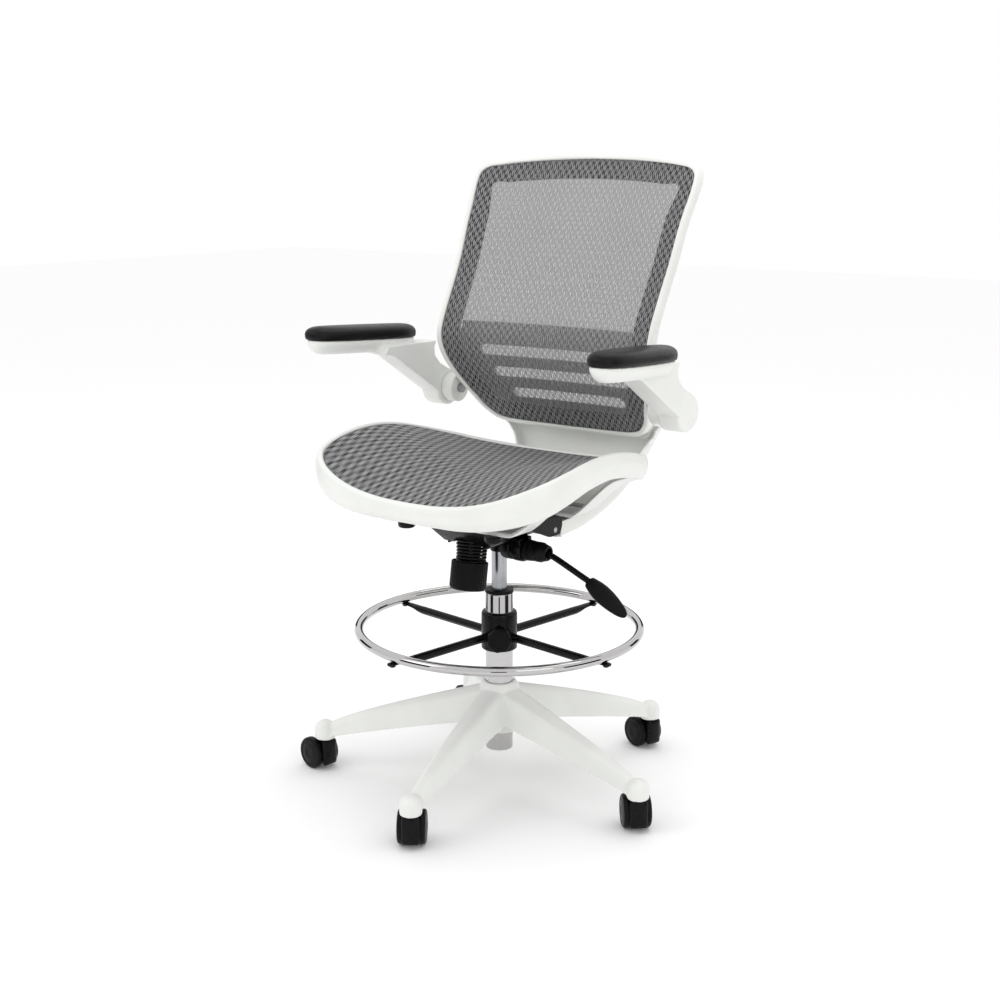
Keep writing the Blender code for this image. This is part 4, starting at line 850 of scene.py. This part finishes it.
def make_lever():
    sideways = axis_frame((0, 0, LEVER_Z), (1, 0, 0))
    profile = [(0.0085, 0.0605), (0.018, 0.0605), (0.019, 0.0615), (0.019, 0.0665)]
    for i in range(3):
        x = 0.068 + 0.0045 * i
        profile += [(0.0168, x), (0.0168, x + 0.0012), (0.0186 - 0.0004 * i, x + 0.0022),
            (0.0186 - 0.0004 * i, x + 0.0036)]
    profile += [(0.0165, 0.0825), (0.0178, 0.084), (0.018, 0.086), (0.0178, 0.0945), (0.0165, 0.0965),
        (0.0135, 0.107), (0.0125, 0.108), (0.0095, 0.108)]
    piece("lever_boot", lathe(profile, 64, sideways), BLACK, "sleeve", "lever_sleeve")

    reach = PADDLE_START.lerp(PADDLE_TIP, 0.3)
    knots = [(-0.006, 0, 0.464), (0.016, 0, 0.4635), (0.03, 0, 0.444), (0.046, 0, 0.4305),
        (0.094, 0, 0.4302), (0.112, 0, 0.427), (0.1272, 0, 0.4216), (0.178, 0, 0.3995), PADDLE_START, reach]
    piece("lever_bar", tube(smooth(knots, 8), 0.0055, 24), PAINTED, "lever", "lever_rod")

    along = (PADDLE_TIP - PADDLE_START).normalized()
    across = Matrix.Rotation(PADDLE_ROLL, 3, along) @ Vector((0, 1, 0))
    up = along.cross(across)
    rings = []
    profile = [(0, 0.0088, 0.0076), (0.015, 0.0104, 0.0085), (0.12, 0.0132, 0.009), (0.22, 0.0152, 0.0091),
        (0.35, 0.0164, 0.0089), (0.5, 0.0161, 0.0084), (0.65, 0.0145, 0.0076), (0.78, 0.0122, 0.0066),
        (0.88, 0.0098, 0.0055), (0.95, 0.0068, 0.0042), (0.985, 0.0042, 0.0029), (1.0, 0.0014, 0.0012)]
    sizes = smooth(profile, 4)
    for size in sizes:
        centre = PADDLE_START.lerp(PADDLE_TIP, size[0])
        ring = []
        for j in range(40):
            a = tau * (j + 0.5) / 40
            c, s = cos(a), sin(a)
            wide = size[1] * copysign(abs(c) ** 0.85, c)
            tall = size[2] * copysign(abs(s) ** 0.85, s)
            # A shallow thumb hollow in the upper face
            if s < 0:
                tall *= 1 - 0.22 * exp(-((size[0] - 0.55) / 0.22) ** 2) * (1 - abs(c)) ** 0.5
            ring.append(centre + across * wide + up * tall)
        rings.append(ring)
    socket = tube([PADDLE_START - along * 0.01, reach + along * GAP], 0.0062, 24)
    piece("lever_handle", cut(loft(rings, sharp=60), socket), BLACK, "lever", "lever_paddle")
    dress_node("release_button")


# ---- seat

def seat_loop(steps):
    half = smooth(SEAT_EDGE, steps)
    bands = [b.x for b in smooth([(b, 0, 0) for b in SEAT_BAND], steps)]
    return mirrored_loop(half), bands + bands[-2:0:-1]


def seat_sections(loop, bands, section_at):
    rings = []
    for point, normal, band in zip(loop, outward_normals(loop), bands):
        rings.append([point + normal * out + Vector((0, 0, dz)) for out, dz in section_at(band)])
    return rings


def rim_section(band):
    """The seat rim's outline, as steps outwards and upwards, for a band of this height."""
    corners = [(GAP, -0.006), (0.0008, 0.0015), (0.0045, 0.004), (0.0115, 0.0018), (0.0145, -0.3 * band),
        (0.0128, -0.68 * band), (0.005, -band), (-0.001, -band), (0.0065, -0.5 * band)]
    return rounded_section(corners, 0.0035, 3)


def interpolate(table, value):
    if value <= table[0][0]:
        return table[0][1]
    for (a, low), (b, high) in zip(table, table[1:]):
        if value <= b:
            return low + (high - low) * (value - a) / (b - a)
    return table[-1][1]


def rim_at(y):
    """The rim's half width and the height of its lower edge."""
    width = interpolate([(p[1], p[0]) for p in SEAT_EDGE], y)
    height = interpolate([(p[1], p[2] - band) for p, band in zip(SEAT_EDGE, SEAT_BAND)], y)
    return width, height


def seat_beam(y_low, y_high):
    """A cross beam of the seat frame that dips to the seat plate, with eased edges."""
    floor = PLATE_TOP + GAP
    thick = 0.0075
    middle = [(0, floor), (0.11, floor), (0.135, floor + 0.003)]
    sides = []
    for y in (y_low, y_high):
        width, height = rim_at(y)
        sides.append(smooth([(x, z, 0) for x, z in middle + [(width - 0.035, height - 0.016),
            (width + 0.003, height + 0.001)]], 8))
    rings = []
    for front, back in zip(*sides):
        low, high = Vector((y_low, front.y)), Vector((y_high, back.y))
        corners = [low, high, high + Vector((-0.004, thick)), low + Vector((0.004, thick))]
        section = rounded_section([tuple(c) for c in corners], 0.003, 3)
        ring = []
        for y, z in section:
            share = (y - y_low) / (y_high - y_low)
            ring.append(Vector((front.x + (back.x - front.x) * share, y, z)))
        rings.append(ring)
    mirrored = [[Vector((-p.x, p.y, p.z)) for p in ring] for ring in reversed(rings[1:])]
    return loft(mirrored + rings, sharp=50)


def sheet_mesh(rings, centre, offset):
    """A thin skin over loops of points, one inside the other, and its copy moved by offset."""
    count, levels = len(rings[0]), len(rings)
    layer = [p for ring in rings for p in ring]
    points = layer + [p + offset for p in layer] + [centre, centre + offset]
    faces = []
    for side in (0, 1):
        for i in range(levels):
            for j in range(count):
                k = (j + 1) % count
                a = side * levels * count + i * count
                if i < levels - 1:
                    face = (a + j, a + k, a + count + k, a + count + j)
                else:
                    face = (a + j, a + k, len(points) - 2 + side)
                faces.append(face if side else face[::-1])
    for j in range(count):
        k = (j + 1) % count
        faces.append((j, k, levels * count + k, levels * count + j))
    return new_mesh(points, faces, 60)


def make_seat():
    loop, bands = seat_loop(8)
    rim = loft(seat_sections(loop, bands, rim_section), closed=True, sharp=60)
    frame_mesh = fuse(rim, seat_beam(*FRONT_BEAM), seat_beam(*REAR_BEAM))
    piece("seat_frame_moulding", frame_mesh, WHITE, "seat", "seat_frame")

    middle = sum(loop, Vector()) / len(loop)
    rings = []
    levels = 30
    for i in range(levels):
        share = 1 - i / levels
        ring = [middle.lerp(point, share) for point in loop]
        for spot, point in zip(ring, loop):
            spot.z = SEAT_MIDDLE + (point.z - 0.002 - SEAT_MIDDLE) * share ** 1.7
        rings.append(ring)
    centre = Vector((middle.x, middle.y, SEAT_MIDDLE))
    mesh = sheet_mesh(rings, centre, Vector((0, 0, SHEET_THICK)))
    obj = piece("seat_sling", mesh, SEAT_KNIT, "seat", "seat_mesh")


# ---- backrest

def back_y(x, z):
    return curve_at(BACK_DEPTH, z) + BACK_HOLLOW * (1 - min(1.0, (x / BACK_HALF_WIDTH) ** 2))


def back_loop(steps, inset):
    half = smooth([(x, 0, z) for x, z in BACK_OUTLINE], steps)
    flat = mirrored_loop(half)
    middle = sum(flat, Vector()) / len(flat)
    loop = []
    for point, normal in zip(flat, outward_normals(flat, Vector((0, 1, 0)))):
        moved = point.lerp(middle, inset / normal.dot(point - middle))
        loop.append(Vector((moved.x, back_y(moved.x, moved.z), moved.z)))
    return loop


def make_back():
    steps = 8
    depth = BACK_FRAME_DEPTH
    corners = [(0.0, 0.004), (0.0018, 0.0), (BACK_LIP - 0.0015, 0.0005), (BACK_LIP, 0.003),
        (BACK_LIP - 0.002, depth - 0.003), (0.002, depth)]
    section = rounded_section(corners, 0.0022, 3)
    edges = [back_loop(steps, inset) for inset, _ in section]
    rings = [[p + Vector((0, d, 0)) for p, (_, d) in zip(points, section)] for points in zip(*edges)]
    piece("back_frame_moulding", loft(rings, closed=True, sharp=60), WHITE, "seat", "back_frame")

    edge = back_loop(steps, BACK_LIP + GAP)
    inner = back_loop(steps, BACK_LIP + BORDER_WIDTH)
    middle = sum(inner, Vector()) / len(inner)
    set_back = Vector((0, 0.004, 0))
    band = []
    for share in (0.0, 0.25, 0.5, 0.75, 1.0):
        ring = [a.lerp(b, share) for a, b in zip(edge, inner)]
        band.append([Vector((p.x, back_y(p.x, p.z), p.z)) + set_back for p in ring])
    rings = list(band)
    levels = 26
    for i in range(1, levels):
        ring = [middle.lerp(point, 1 - i / levels) for point in inner]
        rings.append([Vector((p.x, back_y(p.x, p.z), p.z)) + set_back for p in ring])
    centre = Vector((0, back_y(0, middle.z), middle.z)) + set_back
    mesh = sheet_mesh(rings, centre, Vector((0, SHEET_THICK * 0.5, 0)))
    obj = piece("back_sling", mesh, BACK_KNIT, "seat", "back_mesh")

    # A near-black strip just behind the border of the sling: painted shade, standing in for the shadow
    # there.
    front, back = Vector((0, SHEET_THICK + 0.0006, 0)), Vector((0, SHEET_THICK + 0.0031, 0))
    strips = []
    for points in zip(*band):
        strips.append([p + front for p in points] + [p + back for p in reversed(points)])
    piece("back_border_shade_strip", loft(strips, closed=True, sharp=50), BORDER_PAINTED_SHADE, "seat", "back_border")


def bracket_rings(steps):
    knots = smooth(BRACKET_PATH, steps)
    rings = []
    for i, knot in enumerate(knots):
        y, z, half = knot
        before, after = knots[max(i - 1, 0)], knots[min(i + 1, len(knots) - 1)]
        along = Vector((0, after[0] - before[0], after[1] - before[1])).normalized()
        inwards = Vector((0, -along.z, along.y))
        w, d, t = half, BRACKET_DEPTH, BRACKET_WALL
        corners = [(-w, 0), (w, 0), (w, d), (w - t, d), (w - t, t), (-w + t, t), (-w + t, d), (-w, d)]
        radii = [0.014, 0.014, 0.002, 0.002, 0.01, 0.01, 0.002, 0.002]
        section = []
        for j, corner in enumerate(corners):
            trio = [corners[j - 1], corner, corners[(j + 1) % 8]]
            arc = rounded_section(trio, radii[j], 5)[6:12]
            section += arc
        rings.append([Vector((0, y, z)) + Vector((u, 0, 0)) + inwards * v for u, v in section])
    return rings


def make_bracket():
    shapes = [loft(bracket_rings(8), sharp=60)]
    half = BRACKET_PATH[0][2]
    shapes.append(bevelled(block((-half + 0.0005, 0.0495, 0.448), (half - 0.0005, 0.055, 0.4775)), 0.002))
    # Ribs across the channel, and the screws' bosses
    for y, low, high, reach in ((0.12, 0.4545, 0.476, 0.098), (0.16, 0.4645, 0.486, 0.1015)):
        shapes.append(block((-reach, y - 0.0012, low), (reach, y + 0.0012, high)))
    spots = [(side * 0.07, 0.082) for side in (-1, 1)]
    for x, y in spots:
        shapes.append(lathe(disc(0.011, 0.45, 0.4867), 32, Matrix.Translation((x, y, 0))))
    holes = [rod(0.0043, 0.43, 0.5, 24, Matrix.Translation((x, y, 0))) for x, y in spots]
    piece("back_bracket_moulding", cut(fuse(*shapes), *holes), WHITE, "seat", "back_bracket")
    for name, (x, y) in zip(("right", "left"), spots):
        head = [(0, 0.444), (0.0028, 0.444), (0.0032, 0.4425), (0.006, 0.442), (0.0078, 0.4428),
            (0.0085, 0.4442), (0.0085, 0.4462), (0.004, 0.4462), (0.004, 0.486), (0, 0.486)]
        piece(f"bracket_bolt_{name}", lathe(head, 32, Matrix.Translation((x, y, 0))), PAINTED, "seat",
            f"bracket_screw_{name}")


def make_brace():
    steps = 5
    widths = smooth([(w, 0, 0) for w in BRACE_HALF_WIDTHS], steps)
    spine = smooth([(0, y, z) for y, z in BRACE_PATH], steps)
    rings = []
    shares = [sin(pi / 2 * k / 9) for k in range(-9, 10)]
    for i, (point, width) in enumerate(zip(spine, widths)):
        before, after = spine[max(i - 1, 0)], spine[min(i + 1, len(spine) - 1)]
        along = (after - before).normalized()
        rearwards = Vector((0, along.z, -along.y))
        forward = interpolate([(0.632, 0.01), (0.675, 0.022)], point.z)
        front, back = [], []
        for share in shares:
            spot = point + Vector((width.x * share, -forward * abs(share) ** 2.2, 0))
            ease = 0.0012 if abs(share) > 0.999 else 0.0
            front.append(spot + rearwards * ease)
            back.append(spot + rearwards * (BRACE_THICK - ease))
        rings.append(front + back[::-1])
    brace = loft(rings, sharp=50)
    edit = bmesh.new()
    edit.from_mesh(brace)
    bmesh.ops.triangulate(edit, faces=edit.faces)
    edit.to_mesh(brace)
    edit.free()
    shapes = [brace]
    for side in (-1, 1):
        knuckle = axis_frame((0, ARM_PIVOT_Y, ARM_PIVOT_Z), (side, 0, 0))
        shapes.append(turned([(0.0245, 0.217), (0.0262, 0.2178), (0.027, 0.2195),
            (0.027, ARM_INNER_X - 0.002), (0.0262, ARM_INNER_X - 0.0005)], 64, knuckle))
        ear = [(0.1725, 0.1967), (0.2175, 0.1967), (0.2175, 0.18), (0.2415, 0.18), (0.2415, 0.205),
            (0.225, 0.211), (0.1725, 0.2113)]
        lug = [(0.188, 0.16), (0.2235, 0.149), (0.2325, 0.149), (0.2325, 0.155), (0.205, 0.167),
            (0.188, 0.167)]
        shapes.append(plate([(side * x, y) for x, y in ear], 0.6773, 0.7017))
        shapes.append(plate([(side * x, y) for x, y in lug], 0.768, 0.79))
    cutters = []
    for z, half in BRACE_SLOTS:
        outline = []
        for x, height, start in [(half - SLOT_HALF_HEIGHT, z, -90), (-half + SLOT_HALF_HEIGHT, z, 90)]:
            for i in range(13):
                angle = radians(start + 15 * i)
                outline.append((x + SLOT_HALF_HEIGHT * cos(angle), height + SLOT_HALF_HEIGHT * sin(angle)))
        frame_at = Matrix(((1, 0, 0, 0), (0, 0, 1, 0), (0, 1, 0, 0), (0, 0, 0, 1)))
        cutters.append(plate(outline, 0.1, 0.32, frame_at))
    cutters.append(rod(PIN_HOLE_RADIUS, -0.3, 0.3, 32,
        axis_frame((0, ARM_PIVOT_Y, ARM_PIVOT_Z), (1, 0, 0))))
    piece("lumbar_panel", cut(fuse(*shapes), *cutters), WHITE, "seat", "lumbar_brace")
    for name in ("arm_pin_left", "arm_pin_right"):
        dress_node(name)


# ---- arms

def pad_outline(shrink, count=72):
    half, width = PAD_LENGTH / 2 - shrink, PAD_WIDTH / 2 - shrink
    outline = []
    for i in range(count):
        angle = tau * i / count
        c, s = cos(angle), sin(angle)
        forward = half * copysign(abs(s) ** 0.75, s)
        taper = 1 - 0.1 * (0.5 - forward / PAD_LENGTH)
        outline.append((width * taper * copysign(abs(c) ** 0.75, c), forward))
    return outline


def pad_point(side, across, forward, z_above):
    turn = Matrix.Rotation(side * PAD_TOE_OUT, 2)
    flat = turn @ Vector((across * side, -forward)) + Vector((PAD_MIDDLE[0] * side, PAD_MIDDLE[1]))
    return Vector((flat.x, flat.y, 0.7818 - 0.0548 * flat.y + z_above))


def make_arm(name, side, body):
    crown = [(0.004, GAP), (0.0016, 0.0012), (0.0006, 0.0035), (0.0, 0.007), (0.0, 0.011), (0.0012, 0.015),
        (0.0038, 0.0182), (0.0075, 0.0208), (0.0125, 0.0228), (0.019, 0.0242), (0.027, 0.0249),
        (0.034, 0.0251)]
    rings = [[pad_point(side, u, v, z) for u, v in pad_outline(shrink)] for shrink, z in crown]
    pad = piece(f"arm_pad_{name}_soft", loft(rings, sharp=80), VINYL, body, f"arm_pad_{name}")

    tray_levels = [(0.004, 0.0), (0.0036, -0.003), (0.0045, -0.008), (0.008, -0.0145), (0.013, -0.02),
        (0.02, -0.0245)]
    rings = [[pad_point(side, u, v, z - 0.0004) for u, v in pad_outline(shrink)] for shrink,
        z in tray_levels]
    sideways = Matrix(((0, 0, side, 0), (1, 0, 0, 0), (0, 1, 0, 0), (0, 0, 0, 1)))
    upright = [(-0.02, 0.756), (0.006, 0.75), (0.132, 0.672), (0.16, 0.67), (0.19, 0.685), (0.176, 0.706),
        (0.142, 0.723), (0.126, 0.74), (0.124, 0.756), (0.13, 0.768), (0.06, 0.769), (-0.01, 0.769)]
    boss_frame = axis_frame((0, ARM_PIVOT_Y, ARM_PIVOT_Z), (side, 0, 0))
    r, inner, outer = BOSS_RADIUS, ARM_INNER_X, ARM_OUTER_X
    boss = turned([(r - 0.003, inner), (r - 0.0008, inner + 0.001), (r, inner + 0.003), (r, outer - 0.007),
        (r - 0.0015, outer - 0.0035), (r - 0.005, outer - 0.0008), (r - 0.009, outer)], 96, boss_frame)
    shapes = [loft(rings, sharp=60), plate(upright, inner + 0.001, outer - 0.0005, sideways), boss]
    lid = [[pad_point(side, u, v, z) for u, v in pad_outline(0.0005)] for z in (-0.0002, 0.03)]
    pin_hole = rod(PIN_HOLE_RADIUS, 0.2, 0.2804, 32, boss_frame)
    mesh = melted(shapes, ARM_VOXEL, 9, [loft(lid), pin_hole], thin=0.6)
    piece(f"arm_{name}_moulding", mesh, WHITE, body, f"arm_{name}")


# ---- studio

def make_camera():
    a, e = CAMERA_AZIMUTH, CAMERA_ELEVATION
    back = Vector((sin(a) * cos(e), -cos(a) * cos(e), sin(e)))
    data = bpy.data.cameras.new("camera")
    data.sensor_width = 36
    data.lens = CAMERA_LENS
    data.shift_x = CAMERA_SHIFT
    camera = placed("camera", data)
    camera.location = CAMERA_AIM + back * CAMERA_DISTANCE
    camera.rotation_euler = back.to_track_quat("Z", "Y").to_euler()
    bpy.context.scene.camera = camera


def make_card(name, location, target, width, height, strength=None):
    """A soft box, or with no strength a dark card that only reflections see."""
    direction = (Vector(target) - Vector(location)).to_track_quat("-Z", "Y").to_euler()
    if strength:
        data = bpy.data.lights.new(name, "AREA")
        data.shape = "RECTANGLE"
        data.size, data.size_y = width, height
        data.energy = strength
        obj = placed(name, data)
    else:
        outline = [(-width / 2, -height / 2), (width / 2, -height / 2), (width / 2, height / 2),
            (-width / 2, height / 2)]
        obj = placed(name, plate(outline, 0, 0.01))
        nodes = Nodes(name + "_look")
        nodes.shade(Base_Color=(0.01, 0.01, 0.01, 1), Roughness=1.0)
        obj.data.materials.append(nodes.material)
        obj.visible_camera = False
        obj.visible_diffuse = False
        obj.visible_shadow = False
    obj.location = location
    obj.rotation_euler = direction


def make_studio():
    world = bpy.data.worlds.new("studio")
    world.use_nodes = True
    background = world.node_tree.nodes["Background"]
    background.inputs["Color"].default_value = (1.0, 1.0, 1.0, 1)
    background.inputs["Strength"].default_value = 1.0
    bpy.context.scene.world = world
    bpy.context.scene.view_settings.view_transform = "Standard"

    floor = placed("floor", block((-12, -12, -0.02), (12, 12, -0.0005)))
    nodes = Nodes("floor_look")
    shade = nodes.noise(1.5, 2)
    nodes.shade(Base_Color=nodes.ramp(shade, (0.97, 0.97, 0.97), (0.98, 0.98, 0.98)), Roughness=0.9,
        Specular_IOR_Level=0.1)
    floor.data.materials.append(nodes.material)

    make_card("key_light", (-1.6, -2.6, 2.6), (0, 0, 0.6), 1.8, 1.8, 14)
    make_card("fill_light", (2.8, -1.4, 1.8), (0, 0, 0.6), 1.6, 1.6, 6)
    make_card("top_light", (0.2, 0.6, 3.2), (0, 0, 0.5), 2.2, 2.2, 18)
    # Dark cards round the chair, which only its chrome shows
    for name, bearing, width, height in (("dark_card_1", 100, 1.5, 1.1), ("dark_card_2", 332, 1.2, 1.3),
            ("dark_card_3", 216, 2.6, 0.9), ("dark_card_4", 36, 0.5, 0.8), ("dark_card_5", 160, 0.7, 1.0),
            ("dark_card_6", 275, 0.9, 1.0)):
        angle = radians(bearing)
        spot = Vector((CARD_DISTANCE * sin(angle), -CARD_DISTANCE * cos(angle), height / 2))
        make_card(name, spot, (0, 0, height / 2), width, height)


# ---- assembly

make_camera()
make_studio()
make_base()
make_casters()
make_column()
make_foot_ring()
make_mechanism()
make_lever()
make_seat()
make_back()
make_bracket()
make_brace()
make_arm("left", 1, "arm_l")
make_arm("right", -1, "arm_r")
